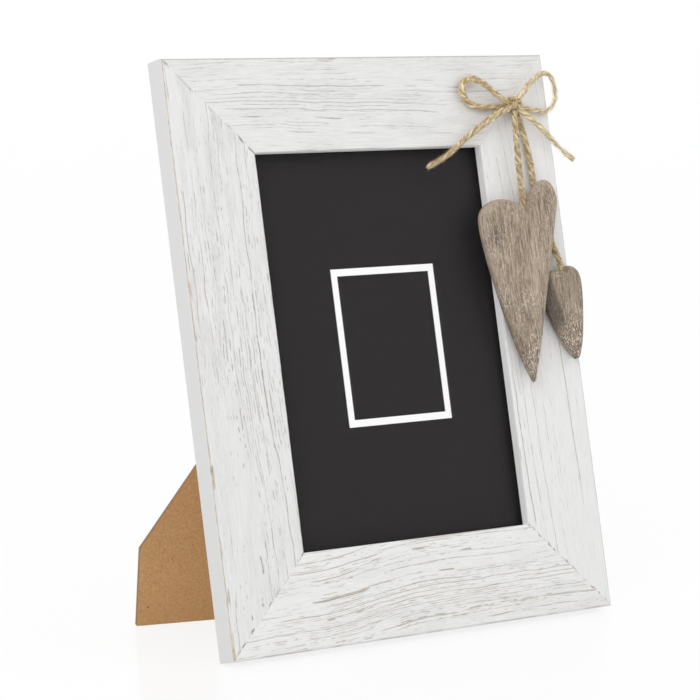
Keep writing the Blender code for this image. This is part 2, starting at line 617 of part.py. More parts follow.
def heart_mesh(name, left, right, drop, front, back):
    """Carved heart: rings of its outline drawn in to a spine while the surface rises.

    A point of the outline moves to its place on the spine by the share 1 - r, and stands off
    the middle plane by half the thickness times (1 - r ** 5) ** 0.45.
    """
    right_side = heart_half(*right, drop)
    left_side = heart_half(*left, drop) * (-1, 1)
    tip = np.array(((0, -drop),))
    outline = np.vstack((right_side, tip, left_side[:0:-1]))
    spine = np.zeros_like(outline)
    spine[:, 1] = np.clip(outline[:, 1] * 0.9, -0.82 * drop, -0.1 * drop)
    shares = (1.0, 0.975, 0.92, 0.82, 0.66)
    bm = bmesh.new()
    rim = None
    for side, half in ((-1, front), (1, back)):
        rings = []
        for share in shares:
            if share == 1.0 and rim:
                rings.append(rim)
                continue
            flat = spine + (outline - spine) * share
            depth = side * half * (1 - share ** 5) ** 0.45
            rings.append([bm.verts.new((x, depth, z)) for x, z in flat])
        rim = rings[0]
        for outer, inner in zip(rings, rings[1:]):
            for i in range(len(outer)):
                j = (i + 1) % len(outer)
                bm.faces.new((outer[i], outer[j], inner[j], inner[i]))
        bm.faces.new(rings[-1])
    return to_mesh(bm, name, smooth=True)


def make_heart(label, halves, sizes, notch, turn, twist, route, finishes, bow):
    """A heart on its string, both on the axis about which they swing."""
    drop, front, back = sizes
    swing = empty(label + "_swing", bow)
    name = label + "_heart"
    heart = place(name, heart_mesh(name, *halves, drop, front, back), swing, finishes["driftwood"],
                  notch, (0, turn, twist))
    seat = Matrix.LocRotScale(Vector(notch), Euler((0, turn, twist)), None)
    bore = rod("bore_" + name, TWINE_RADIUS + FIT, -HOLE_DEPTH, HOLE_DEPTH, 12)
    cut(heart, bore, swing, notch, (seat.to_3x3() @ Matrix.Rotation(math.pi / 2, 3, "X")).to_euler())
    above = seat @ Vector((0, 0, 3 * TWINE_RADIUS))
    mouth = seat @ Vector((0, 0, 0))
    bottom = seat @ Vector((0, 0, FIT - HOLE_DEPTH))
    string = smooth_route(from_face(route) + [above, mouth, bottom], TAIL_POINTS + 3)
    tube(label + "_heart_string", string, TWINE_RADIUS, finishes["twine"], swing)


def make_bow(finishes, frame):
    """Twine bow glued over a mitre, with two hearts hanging from its knot."""
    twine = finishes["twine"]
    knot_spot = (FRAME_WIDTH / 2 - KNOT_FROM_SIDE, FACE, FRAME_HEIGHT - KNOT_FROM_TOP)
    bow = empty("bow", frame, knot_spot)
    glue = rod("bow_glue", GLUE_RADIUS, -FIT - GLUE_THICKNESS, -FIT, 14)
    place("bow_glue", glue, bow, finishes["glue"])
    make_knot(twine, bow)
    for name, route, count in (("bow_loop_left", LEFT_LOOP, LOOP_POINTS),
                               ("bow_loop_right", RIGHT_LOOP, LOOP_POINTS),
                               ("bow_tail_left", LEFT_TAIL, TAIL_POINTS),
                               ("bow_tail_right", RIGHT_TAIL, TAIL_POINTS)):
        tube(name, smooth_route(from_face(route), count), TWINE_RADIUS, twine, bow)
    large_halves = ((LARGE_LEFT_WIDTH, LARGE_LEFT_CREST, LARGE_LEFT_RISE, LARGE_LEFT_BULGE,
                     LARGE_LEFT_FULLNESS, LARGE_LEFT_POINT, LARGE_LEFT_BEND),
                    (LARGE_RIGHT_WIDTH, LARGE_RIGHT_CREST, LARGE_RIGHT_RISE, LARGE_RIGHT_BULGE,
                     LARGE_RIGHT_FULLNESS, LARGE_RIGHT_POINT, LARGE_RIGHT_BEND))
    make_heart("large", large_halves, (LARGE_DROP, LARGE_FRONT, LARGE_BACK), LARGE_NOTCH,
               LARGE_TURN, LARGE_TWIST, LARGE_STRING, finishes, bow)
    small_halves = ((SMALL_LEFT_WIDTH, SMALL_LEFT_CREST, SMALL_LEFT_RISE, SMALL_LEFT_BULGE,
                     SMALL_LEFT_FULLNESS, SMALL_LEFT_POINT, SMALL_LEFT_BEND),
                    (SMALL_RIGHT_WIDTH, SMALL_RIGHT_CREST, SMALL_RIGHT_RISE, SMALL_RIGHT_BULGE,
                     SMALL_RIGHT_FULLNESS, SMALL_RIGHT_POINT, SMALL_RIGHT_BEND))
    make_heart("small", small_halves, (SMALL_DROP, SMALL_FRONT, SMALL_BACK), SMALL_NOTCH,
               SMALL_TURN, SMALL_TWIST, SMALL_STRING, finishes, bow)


def standing_centre():
    """Middle of the standing frame's footprint, from its lower rear edge."""
    heart_side = FRAME_WIDTH / 2 - KNOT_FROM_SIDE + SMALL_NOTCH[0] + SMALL_RIGHT_WIDTH
    right = max(FRAME_WIDTH / 2, heart_side)
    across = (right - FRAME_WIDTH / 2) / 2
    drop = floor_drop(FOOT_CORNER)
    reach = LEG_FACE + LEG_THICKNESS
    depth = PIN_HEIGHT + reach * math.cos(LEG_OPEN) + drop * math.sin(LEG_OPEN)
    rise = reach * math.sin(LEG_OPEN) - drop * math.cos(LEG_OPEN)
    rise = HINGE_HEIGHT - FOOT_CORNER * math.sin(LEG_SLANT) + rise * math.cos(LEG_SLANT)
    rear = depth * math.cos(LEAN) + rise * math.sin(LEAN)
    front = FACE * math.cos(LEAN)
    return across, (rear + front) / 2


def main():
    clear_scene()
    finishes = {
        "whitewash": material("whitewashed_wood", (0.80, 0.79, 0.77), 0.75),
        "glass": material("clear_glass", (0.90, 0.93, 0.92), 0.05),
        "card": material("black_card", (0.035, 0.033, 0.034), 0.55),
        "hardboard": material("brown_hardboard", (0.43, 0.24, 0.105), 0.7),
        "steel": material("zinc_plated_steel", (0.62, 0.62, 0.60), 0.35, 1.0),
        "twine": material("jute_twine", (0.49, 0.33, 0.14), 0.9),
        "driftwood": material("grey_brown_wood", (0.31, 0.225, 0.165), 0.8),
        "glue": material("clear_glue", (0.75, 0.72, 0.62), 0.4),
    }
    across, depth = standing_centre()
    frame = empty("frame_lean", None, (-across, -depth, 0), (-LEAN, 0, 0))
    rails = make_moulding(finishes["whitewash"], finishes["steel"], frame)
    sheet("glass_pane", GLASS_FRONT, GLASS_THICKNESS, finishes["glass"], frame)
    sheet("insert_card", CARD_FRONT, CARD_THICKNESS, finishes["card"], frame)
    board = sheet("back_board", BOARD_FRONT, BOARD_THICKNESS, finishes["hardboard"], frame)
    make_hinge_and_leg(board, finishes, frame)
    make_buttons(rails, finishes, frame)
    make_hanger(board, finishes, frame)
    make_bow(finishes, frame)


main()
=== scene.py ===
import json
import math

import bmesh
import bpy
import numpy as np
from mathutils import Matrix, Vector


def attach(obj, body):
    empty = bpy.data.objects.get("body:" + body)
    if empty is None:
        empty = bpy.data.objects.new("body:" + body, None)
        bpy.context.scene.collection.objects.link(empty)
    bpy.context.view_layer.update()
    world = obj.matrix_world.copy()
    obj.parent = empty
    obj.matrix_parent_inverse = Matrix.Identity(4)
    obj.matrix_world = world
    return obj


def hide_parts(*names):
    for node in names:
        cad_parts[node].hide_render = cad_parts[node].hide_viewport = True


# Whitewashed picture frame with a twine bow and two hanging hearts. Lengths are in metres unless mm is named.
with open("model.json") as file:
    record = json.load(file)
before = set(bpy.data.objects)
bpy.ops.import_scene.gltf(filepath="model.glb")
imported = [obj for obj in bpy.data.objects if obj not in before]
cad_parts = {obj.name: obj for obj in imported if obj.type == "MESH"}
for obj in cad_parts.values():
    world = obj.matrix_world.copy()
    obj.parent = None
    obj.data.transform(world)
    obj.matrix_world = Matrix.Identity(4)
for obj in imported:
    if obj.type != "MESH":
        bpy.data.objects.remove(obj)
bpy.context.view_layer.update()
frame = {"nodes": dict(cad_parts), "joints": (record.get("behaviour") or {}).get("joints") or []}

MM = 0.001

# The frame's own axes: across to the right, depth to the back, up along the leaning back plane
SWING = next(joint for joint in frame["joints"] if joint["name"] == "large_heart_swing")
KNOT = np.array(SWING["pos_m"])
DEPTH_AXIS = np.array(SWING["axis"])
ACROSS_AXIS = np.array((1, 0, 0))
UP_AXIS = np.cross(ACROSS_AXIS, DEPTH_AXIS)
FRAME_AXES = np.stack((ACROSS_AXIS, DEPTH_AXIS, UP_AXIS))
LEAN = math.atan2(-DEPTH_AXIS[2], DEPTH_AXIS[1])

# Moulding, as in the solids but for a sharper sight edge
SIGHT_WIDTH = 120 * MM
SIGHT_HEIGHT = 170 * MM
MOULDING_WIDTH = 41 * MM
MOULDING_DEPTH = 11 * MM
LIP = 4.5 * MM
REBATE = 5.5 * MM
ARRIS = 1.2 * MM
SIGHT_ROUND = 0.8 * MM
MITRE_GAP = 0.02 * MM
NAIL_FLUSH = 0.12 * MM
FRAME_WIDTH = SIGHT_WIDTH + 2 * MOULDING_WIDTH
FRAME_HEIGHT = SIGHT_HEIGHT + 2 * MOULDING_WIDTH
KNOT_ACROSS = FRAME_WIDTH / 2 - 23.4 * MM
KNOT_UP = FRAME_HEIGHT - 23.8 * MM
FOOT_MIDDLE = KNOT - KNOT_ACROSS * ACROSS_AXIS + MOULDING_DEPTH * DEPTH_AXIS - KNOT_UP * UP_AXIS

# Rows of points along a length of moulding, closer together by the mitres
ROW_STEP = 0.8 * MM
END_ROWS = np.arange(0, 2.4, 0.2) * MM
END_REACH = 3 * MM

# Where each part of the section begins and is in full, in mm along its outline from the outer arris
FACE_FROM = (0.8, 2.2)
SIGHT_FROM = (41.4, 42.2)
LEDGE_FROM = (45.8, 46.2)
BACK_FROM = (57.2, 57.7)
OUTER_EDGE = 1
TORN_EDGE = 1.5
SIGHT_EDGE = 41.5

# How deep grain and wear sink into the moulding, in mm
GRAIN_SINK = 0.22
WEAR_SINK = 0.22
CHIP_SINK = 0.25
UNEVEN_SINK = 0.08

# Keyline printed on the card
CARD_FRONT = -3.9 * MM
KEYLINE_MIDDLE = (3 * MM, 125.9 * MM)
KEYLINE_SIZE = (54.8 * MM, 68.7 * MM)
KEYLINE_STROKE = 3.1 * MM
KEYLINE_THICKNESS = 0.06 * MM

# Twine: three plies laid to the left, slacker in the bow. A ply's sizes are shares of the twine's radius.
TWINE_RADIUS = 1.35 * MM
TWINE_PITCH = 14.5 * MM
LOOP_PITCH = 19 * MM
TAIL_PITCH = 17 * MM
TWINE_STEP = 0.27 * MM
TWINE_SIDES = 42
ROUTE_STEPS = 24
PLIES = 3
PLY_MIDDLE = 0.46
PLY_RADIUS = 0.54
PLY_STEPS = 70
PLY_SIDES = 10
FURROW_EDGE = 0.83
# Painted shade in the furrows between plies, at its full strength
FURROW_SHADE = 0.92
YARN_TURNS = 2.4
HAIR_RADIUS = 0.05 * MM
HAIR_CLEARANCE = 0.15 * MM
HAIR_LONGEST = 2.2 * MM
HAIR_STEPS = 5
HAIR_SIDES = 3
KNOT_STEPS = 90
KNOT_SIDES = 30
KNOT_HAIRS = 260
KNOT_HAIR_LONGEST = 1.6 * MM
KNOT_PALE = -0.5

# Lattice that the noises are drawn on
LATTICE = (97, 89)

# Studio: name, place, size and watts of each lamp, and the room's own light
LAMPS = (("left_lamp", (-1.2, -0.9, 1.2), 1, 9),
         ("right_lamp", (0.9, -1, 1.1), 0.9, 1.5))
LAMP_AIM = (0, 0, 0.12)
ROOM_LIGHT = 0.84
FLOOR_RADII = (0, 0.4, 1.2, 3, 8)
FLOOR_SIDES = 64
FLOOR_LEVEL = -0.0002
FLOOR_WHITE = 0.83

# Camera: place from the middle of the frame's lower rear edge, direction and focal length in pixels
CAMERA_PLACE = (-0.7272, -0.9904, 0.2668)
CAMERA_AIM = (0.5688, 0.8143, -0.1156)
FOCAL_PIXELS = 2887.3
PICTURE_PIXELS = 700
SENSOR_WIDTH = 36

# Colours, as linear red, green and blue, and the two tones of each mottle
PAINT_TONES = ((0.72, 0.72, 0.715), (0.82, 0.82, 0.815))
# Plain paint of the outer sides, set darker than the face as painted shade
SHADED_SIDE_PAINT = (0.7, 0.7, 0.697)
DASHED_PAINT = (0.52, 0.505, 0.485)
THIN_PAINT = (0.6, 0.59, 0.57)
# Painted light: a whiter paint that brightens the sight walls and the bottom and right rails
PAINTED_LIGHT_WHITE = (0.95, 0.95, 0.945)
PORE_TONES = ((0.47, 0.455, 0.435), (0.52, 0.44, 0.355))
CRACK_TONES = ((0.24, 0.225, 0.21), (0.36, 0.265, 0.185))
EDGE_TONES = ((0.33, 0.255, 0.185), (0.6, 0.515, 0.42))
ASHEN_EDGE = (0.4, 0.395, 0.38)
CARD_TONES = ((0.0245, 0.0222, 0.0235), (0.0255, 0.0232, 0.0245))
BOARD_TONES = ((0.44, 0.238, 0.09), (0.648, 0.376, 0.17))
BOARD_CLOUD = (0.502, 0.275, 0.1115)
BOARD_SPECK = (0.12, 0.06, 0.026)
BOARD_EDGE = (0.215, 0.112, 0.047)
STRAW_TONES = ((0.29, 0.19, 0.083), (0.93, 0.775, 0.505))
# Browner and paler patches of the twine, partly painted shade and painted highlight
STRAW_PATCH_AND_SHADE = (0.38, 0.26, 0.118)
STRAW_STREAK = (0.25, 0.155, 0.064)
STRAW_BLEACHED_AND_HIGHLIGHT = (1, 0.87, 0.6)
# Painted shade in the furrows between plies
STRAW_FURROW_SHADE = (0.13, 0.08, 0.034)
HAIR_TONES = ((0.5, 0.36, 0.17), (0.7, 0.55, 0.33))
PRINT_TONES = ((0.99, 0.99, 0.99), (0.96, 0.96, 0.96))
GLUE_TONES = ((0.68, 0.63, 0.5), (0.78, 0.75, 0.66))
ZINC_TONES = ((0.5, 0.51, 0.52), (0.66, 0.66, 0.66))
NAIL_TONES = ((0.2, 0.2, 0.21), (0.34, 0.34, 0.34))
HEART_TONES = ((0.145, 0.103, 0.071), (0.5, 0.394, 0.296))
HEART_CLOUD = (0.36, 0.268, 0.19)
# Painted highlight on the hearts' rims, also used for a paler band down their middle
HEART_RIM_HIGHLIGHT = (0.52, 0.42, 0.32)
HEART_SPLIT = (0.115, 0.083, 0.06)
HEART_GRAIN = (0.13, 0.098, 0.072)
# Stains, and painted shade on the small heart's left flank
HEART_STAIN_AND_SHADE = (0.075, 0.058, 0.042)
HEART_FLECK = (0.78, 0.69, 0.575)


# Places, noises and meshes


def in_frame(points):
    """Points in the frame's axes, from the middle of its lower rear edge, as points in the room."""
    return FOOT_MIDDLE + np.asarray(points) @ FRAME_AXES


def from_knot(route):
    """Route points in mm, across, out from the face and up from the knot, as points in the room."""
    across, out, up = np.array(route).T * MM
    return KNOT + np.stack((across, -out, up), axis=1) @ FRAME_AXES


def eased(t):
    """The smooth step 3t^2 - 2t^3."""
    return t * t * (3 - 2 * t)


def ramp(value, low, high):
    """0 below low, 1 above high and the smooth step between."""
    return eased(np.clip((value - low) / (high - low), 0, 1))


def noise(x, y, seed):
    """Smooth random field of 0 to 1: lattice values blended by the smooth step."""
    lattice = np.random.default_rng(seed).random(LATTICE)
    x, y = np.broadcast_arrays(x, y)
    column = np.floor(x).astype(int)
    row = np.floor(y).astype(int)
    s = eased(x - column)
    t = eased(y - row)
    column, next_column = column % LATTICE[0], (column + 1) % LATTICE[0]
    row, next_row = row % LATTICE[1], (row + 1) % LATTICE[1]
    near = lattice[column, row] * (1 - s) + lattice[next_column, row] * s
    far = lattice[column, next_row] * (1 - s) + lattice[next_column, next_row] * s
    return near * (1 - t) + far * t


def layered(x, y, seed):
    """Three octaves of noise, each half as strong and twice as fine, 0 to 1."""
    total = noise(x, y, seed) + noise(2 * x, 2 * y, seed + 1) / 2 + noise(4 * x, 4 * y, seed + 2) / 4
    return total / 1.75


def cluster(along, across, window):
    """A soft spot: its height times exp(-u^2 - v^2), u and v the shares of its reaches along and across."""
    at_along, at_across, reach_along, reach_across, height = window
    return height * np.exp(-((along - at_along) / reach_along) ** 2
                           - ((across - at_across) / reach_across) ** 2)


def unit(vectors):
    """Vectors brought to a length of 1."""
    return vectors / np.linalg.norm(vectors, axis=1, keepdims=True)


def distance_along(points):
    """How far a path has come at each of its points."""
    steps = np.linalg.norm(np.diff(points, axis=0), axis=1)
    return np.concatenate(((0,), np.cumsum(steps)))


def circle(count):
    """Evenly spaced angles round a circle."""
    return np.linspace(0, 2 * math.pi, count, endpoint=False)


def ring_points(centre, reach, angle, first, second):
    """Rings about a path: centre + reach * (cos(angle) * first direction + sin(angle) * second direction)."""
    angle = angle[..., None]
    turned = np.cos(angle) * first[..., None, :] + np.sin(angle) * second[..., None, :]
    return centre[..., None, :] + reach[..., None] * turned


def grid_quads(rows, columns, closed=False):
    """Corner numbers of the quads of a grid of points, closed round its columns if asked."""
    i = np.arange(rows - 1)[:, None] * columns
    j = np.arange(columns if closed else columns - 1)[None, :]
    k = (j + 1) % columns
    corners = np.broadcast_arrays(i + j, i + k, i + columns + k, i + columns + j)
    return np.stack(corners, axis=-1).reshape(-1, 4)


def tube_faces(rows, columns, tubes=1):
    """Faces of tubes whose points follow each other, each with a flat cap on both ends."""
    first = np.arange(tubes)[:, None, None] * rows * columns
    caps = np.stack((np.arange(columns), np.arange(columns) + (rows - 1) * columns))
    sides = (grid_quads(rows, columns, closed=True)[None] + first).reshape(-1, 4)
    return sides.tolist() + (caps[None] + first).reshape(-1, columns).tolist()


def put(name, data):
    """A mesh, lamp or lens as a new object."""
    made = bpy.data.objects.new(name, data)
    bpy.context.scene.collection.objects.link(made)
    return made


def surface(name, points, faces, finish, body, stands_for=(), values=None, sharp=40, weld=0):
    """A piece from points and faces, with its per-point values, riding on a body of the solids."""
    mesh = bpy.data.meshes.new(name)
    mesh.from_pydata(np.asarray(points).reshape(-1, 3).tolist(), [], [list(map(int, f)) for f in faces])
    for label, value in (values or {}).items():
        each = np.broadcast_to(value, np.shape(points)[:-1]).astype(np.float32)
        mesh.attributes.new(label, "FLOAT", "POINT").data.foreach_set("value", each.ravel())
    made = bmesh.new()
    made.from_mesh(mesh)
    if weld:
        bmesh.ops.remove_doubles(made, verts=made.verts, dist=weld)
    bmesh.ops.recalc_face_normals(made, faces=made.faces)
    made.to_mesh(mesh)
    made.free()
    mesh.shade_smooth()
    mesh.set_sharp_from_angle(angle=math.radians(sharp))
    mesh.materials.append(finish)
    piece = put(name, mesh)
    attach(piece, body)
    if stands_for:
        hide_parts(*stands_for)
    return piece


# Finishes


def new_finish(name, colour, roughness, **constants):
    """A Principled finish with its plain colour and constant sockets set, and the tree it is built in."""
    finish = bpy.data.materials.new(name)
    finish.use_nodes = True
    shader = finish.node_tree.nodes["Principled BSDF"]
    shader.inputs["Base Color"].default_value = (*colour, 1)
    shader.inputs["Roughness"].default_value = roughness
    for socket, value in constants.items():
        shader.inputs[socket.replace("_", " ")].default_value = value
    return finish, finish.node_tree, shader


def add(tree, kind, settings=None, **inputs):
    """A node with its settings, and each input, by name or as i and its number, set or linked."""
    made = tree.nodes.new("ShaderNode" + kind)
    for key, value in (settings or {}).items():
        setattr(made, key, value)
    for key, value in inputs.items():
        socket = made.inputs[int(key[1:]) if key[1:].isdigit() else key.replace("_", " ")]
        if isinstance(value, bpy.types.NodeSocket):
            tree.links.new(value, socket)
        else:
            socket.default_value = value
    return made


def link(node, socket, value):
    """A value, colour or shader of a tree, linked to a socket of a node."""
    node.id_data.links.new(value, node.inputs[socket])


def place_of(tree, scale=(1, 1, 1)):
    """Object coordinates stretched by a scale along each axis of the leaning frame."""
    coordinates = add(tree, "TexCoord").outputs["Object"]
    turned = add(tree, "VectorRotate", {"rotation_type": "X_AXIS"}, Vector=coordinates, Angle=LEAN)
    return add(tree, "VectorMath", {"operation": "MULTIPLY"}, i0=turned.outputs[0], i1=scale).outputs[0]


def value_of(tree, name):
    """A per-point value of the piece."""
    return add(tree, "Attribute", {"attribute_name": name}).outputs["Fac"]


def noise_on(place, size, detail, roughness):
    """Noise of a size per unit of the place it is drawn on."""
    drawn = add(place.id_data, "TexNoise", Vector=place, Scale=size, Detail=detail, Roughness=roughness)
    return drawn.outputs["Fac"]


def speckle(tree, size, detail=3, roughness=0.6, scale=(1, 1, 1)):
    """Noise on stretched object coordinates."""
    return noise_on(place_of(tree, scale), size, detail, roughness)


def grain_noise(along, across, per_mm_along, per_mm_across, detail):
    """Noise drawn out along a rail's grain, by how far the point lies along and across it in mm."""
    spot = add(along.id_data, "CombineXYZ", X=times(along, per_mm_along), Y=times(across, per_mm_across))
    return noise_on(spot.outputs[0], 1, detail, 0.62)


def blend(share, first, second):
    """Mix of two colours or colour sockets by a share."""
    colours = [c if isinstance(c, bpy.types.NodeSocket) else (*c, 1) for c in (first, second)]
    mixed = add(share.id_data, "Mix", {"data_type": "RGBA"}, i0=share, i6=colours[0], i7=colours[1])
    return mixed.outputs[2]


def spread(value, low, high, to_low=0, to_high=1):
    """A value mapped from one range to another, clamped."""
    return add(value.id_data, "MapRange", i0=value, i1=low, i2=high, i3=to_low, i4=to_high).outputs[0]


def times(first, second, operation="MULTIPLY"):
    """Two numbers put together by one operation."""
    return add(first.id_data, "Math", {"operation": operation}, i0=first, i1=second).outputs[0]


def relief(shader, height, depth, strength):
    """Fine relief of a finish, in metres, on the shader's normal."""
    bump = add(shader.id_data, "Bump", Height=height, Distance=depth, Strength=strength)
    link(shader, "Normal", bump.outputs[0])


def whitewash_finish():
    """Thin white paint brushed along the grain.

    Pale wood shows in the pores, darker wood in the deep ones, and tan or ashen wood on worn edges.
    """
    finish, tree, shader = new_finish("whitewash", (0.77, 0.77, 0.765), 0.62)
    along, across, thin, brush, bare = (
        value_of(tree, label) for label in ("along", "across", "thin", "brush", "bare"))
    brushed = grain_noise(along, across, 0.075, 1.5, 4)
    fine = grain_noise(along, across, 0.2, 2.7, 3)
    streaks = blend(spread(brushed, 0.32, 0.66), *PAINT_TONES)
    # The outer sides take the plain paint, darker as painted shade
    paint = blend(brush, SHADED_SIDE_PAINT, streaks)
    dash = times(spread(fine, 0.55, 0.66), spread(thin, 0, 0.8, 0.12, 0.85))
    paint = blend(times(dash, brush), paint, DASHED_PAINT)
    paint = blend(spread(thin, 0.15, 1, 0, 0.36), paint, THIN_PAINT)
    # Painted light: whiter paint over the sight walls, and over the whole of the bottom and right rails
    paint = blend(value_of(tree, "coat"), paint, PAINTED_LIGHT_WHITE)
    ragged = times(bare, times(spread(fine, 0.3, 0.7), 0.5), "ADD")
    opened = times(spread(ragged, 0.45, 0.8), spread(bare, 0.05, 0.3))
    tone = times(speckle(tree, 60, 2), value_of(tree, "warm"), "ADD")
    warm = spread(tone, 0.45, 0.85)
    shallow = blend(warm, *PORE_TONES)
    deep = blend(warm, *CRACK_TONES)
    wood = blend(spread(bare, 0.5, 1), shallow, deep)
    painted = blend(opened, paint, wood)
    rub = grain_noise(along, across, 0.25, 1.2, 3)
    edge = blend(spread(rub, 0.36, 0.6), *EDGE_TONES)
    edge = blend(value_of(tree, "ashen"), edge, ASHEN_EDGE)
    link(shader, "Base Color", blend(value_of(tree, "worn"), painted, edge))
    link(shader, "Roughness", spread(opened, 0, 1, 0.58, 0.85))
    relief(shader, times(times(brushed, fine, "ADD"), brush), 0.1 * MM, 0.5)
    return finish


def glass_finish():
    """Clear picture glass, seen mostly straight through."""
    finish, tree, shader = new_finish("picture_glass", (0.99, 0.995, 0.993), 0,
                                      Transmission_Weight=1, IOR=1.45, Alpha=0.03)
    link(shader, "Roughness", spread(speckle(tree, 30, 2), 0.4, 0.8, 0, 0.02))
    return finish


def card_finish():
    """Black print on card, with a trace of paper fibre."""
    finish, tree, shader = new_finish("black_card", (0.025, 0.0227, 0.024), 0.7, Specular_IOR_Level=0.1)
    link(shader, "Base Color", blend(spread(speckle(tree, 700), 0.3, 0.7), *CARD_TONES))
    return finish


def clouded_finish(name, colour, roughness, size, detail, tones):
    """A plain finish, softly clouded between two tones."""
    finish, tree, shader = new_finish(name, colour, roughness)
    link(shader, "Base Color", blend(speckle(tree, size, detail), *tones))
    return finish


def hardboard_finish(name, face):
    """Pressed brown hardboard: fine fibre mottle, dark specks, a few larger dots and darker cut edges."""
    finish, tree, shader = new_finish(name, (0.49, 0.26, 0.115), 0.62)
    fibre = speckle(tree, 850, 4, 0.7)
    cloud = speckle(tree, 45)
    board = blend(spread(fibre, 0.32, 0.68), *BOARD_TONES)
    board = blend(spread(cloud, 0.35, 0.7, 0, 0.4), board, BOARD_CLOUD)
    for per_metre, rarity, size in ((330, 0.972, 0.18), (900, 0.965, 0.3)):
        cell = add(tree, "TexVoronoi", Vector=place_of(tree), Scale=per_metre)
        dot = spread(cell.outputs["Distance"], 0.6 * size, size, 1, 0)
        draw = add(tree, "SeparateColor", Color=cell.outputs["Color"]).outputs[0]
        chosen = spread(draw, rarity, rarity + 0.01)
        board = blend(times(times(dot, chosen), 0.85), board, BOARD_SPECK)
    normal = add(tree, "TexCoord").outputs["Normal"]
    turned = add(tree, "VectorMath", {"operation": "DOT_PRODUCT"}, i0=normal, i1=face).outputs["Value"]
    edge = spread(times(turned, 0, "ABSOLUTE"), 0.5, 0.9, 0.75, 0)
    link(shader, "Base Color", blend(edge, board, BOARD_EDGE))
    relief(shader, fibre, 0.05 * MM, 0.6)
    return finish


def steel_finish(name, tones):
    """Steel, softly clouded between a dull and a bright grey."""
    finish, tree, shader = new_finish(name, tones[1], 0.34, Metallic=1)
    cloud = speckle(tree, 420)
    link(shader, "Base Color", blend(cloud, *tones))
    link(shader, "Roughness", spread(cloud, 0.3, 0.7, 0.28, 0.46))
    return finish


def twine_finish():
    """Jute: straw-coloured fibres along each ply, streaked, in browner and paler patches that are partly
    painted shade and painted highlight, and with painted shade in the furrows.
    """
    finish, tree, shader = new_finish("jute_twine", (0.5, 0.36, 0.17), 0.85, Sheen_Weight=0.15)
    strand = add(tree, "CombineXYZ", X=value_of(tree, "around"), Y=value_of(tree, "along")).outputs[0]
    fibre = noise_on(strand, 1, 5, 0.75)
    patch_and_shade = speckle(tree, 420, 2)
    yarn = noise_on(strand, 0.4, 2, 0.6)
    straw = blend(spread(fibre, 0.36, 0.64), *STRAW_TONES)
    # Browner patches, partly painted shade
    straw = blend(spread(patch_and_shade, 0.48, 0.7, 0, 0.5), straw, STRAW_PATCH_AND_SHADE)
    straw = blend(spread(yarn, 0.32, 0.5, 0.75, 0), straw, STRAW_STREAK)
    # Paler patches, partly painted highlight, more on the paler cords
    bleached_and_highlight = times(spread(yarn, 0.5, 0.66, 0, 0.8), value_of(tree, "pale"), "ADD")
    straw = blend(bleached_and_highlight, straw, STRAW_BLEACHED_AND_HIGHLIGHT)
    # Painted shade in the furrows, broken up by the fibres
    broken_furrow_shade = times(value_of(tree, "furrow"), spread(fibre, 0.36, 0.62, 1, 0.3))
    link(shader, "Base Color", blend(broken_furrow_shade, straw, STRAW_FURROW_SHADE))
    relief(shader, fibre, 0.18 * MM, 0.9)
    return finish


def heart_finish():
    """Weathered wood: grey brown, streaked along the grain, dark in stained hollows and towards the tip, with
    pale flecks, a painted highlight on the rims and painted shade on the small heart's left flank.
    """
    finish, tree, shader = new_finish("weathered_wood", (0.31, 0.225, 0.165), 0.66)
    streak = speckle(tree, 1500, 4, 0.65, (1, 1, 0.09))
    split = speckle(tree, 1100, 3, 0.6, (1, 1, 0.06))
    cloud = speckle(tree, 80, 3, 0.6, (1, 1, 0.4))
    fine = speckle(tree, 3000, 2, 0.6, (1, 1, 0.22))
    wood = blend(spread(streak, 0.35, 0.65), *HEART_TONES)
    wood = blend(spread(cloud, 0.35, 0.7, 0, 0.4), wood, HEART_CLOUD)
    wood = blend(value_of(tree, "rim"), wood, HEART_RIM_HIGHLIGHT)
    wood = blend(spread(split, 0.54, 0.66, 0, 0.75), wood, HEART_SPLIT)
    wood = blend(value_of(tree, "bare"), wood, HEART_GRAIN)
    wood = blend(value_of(tree, "stain"), wood, HEART_STAIN_AND_SHADE)
    rubbed = spread(value_of(tree, "rubbed"), 0, 1, 0.12, 1)
    fleck = times(rubbed, spread(fine, 0.53, 0.63))
    link(shader, "Base Color", blend(fleck, wood, HEART_FLECK))
    relief(shader, streak, 0.1 * MM, 0.6)
    return finish


WHITEWASH = whitewash_finish()
TWINE = twine_finish()
HAIR = clouded_finish("jute_hair", (0.6, 0.45, 0.24), 0.8, 300, 1, HAIR_TONES)
WEATHERED = heart_finish()
PRINT = clouded_finish("white_print", (0.98, 0.98, 0.98), 0.6, 700, 3, PRINT_TONES)
GLUE = clouded_finish("clear_glue", (0.72, 0.68, 0.56), 0.35, 500, 2, GLUE_TONES)


# Moulding


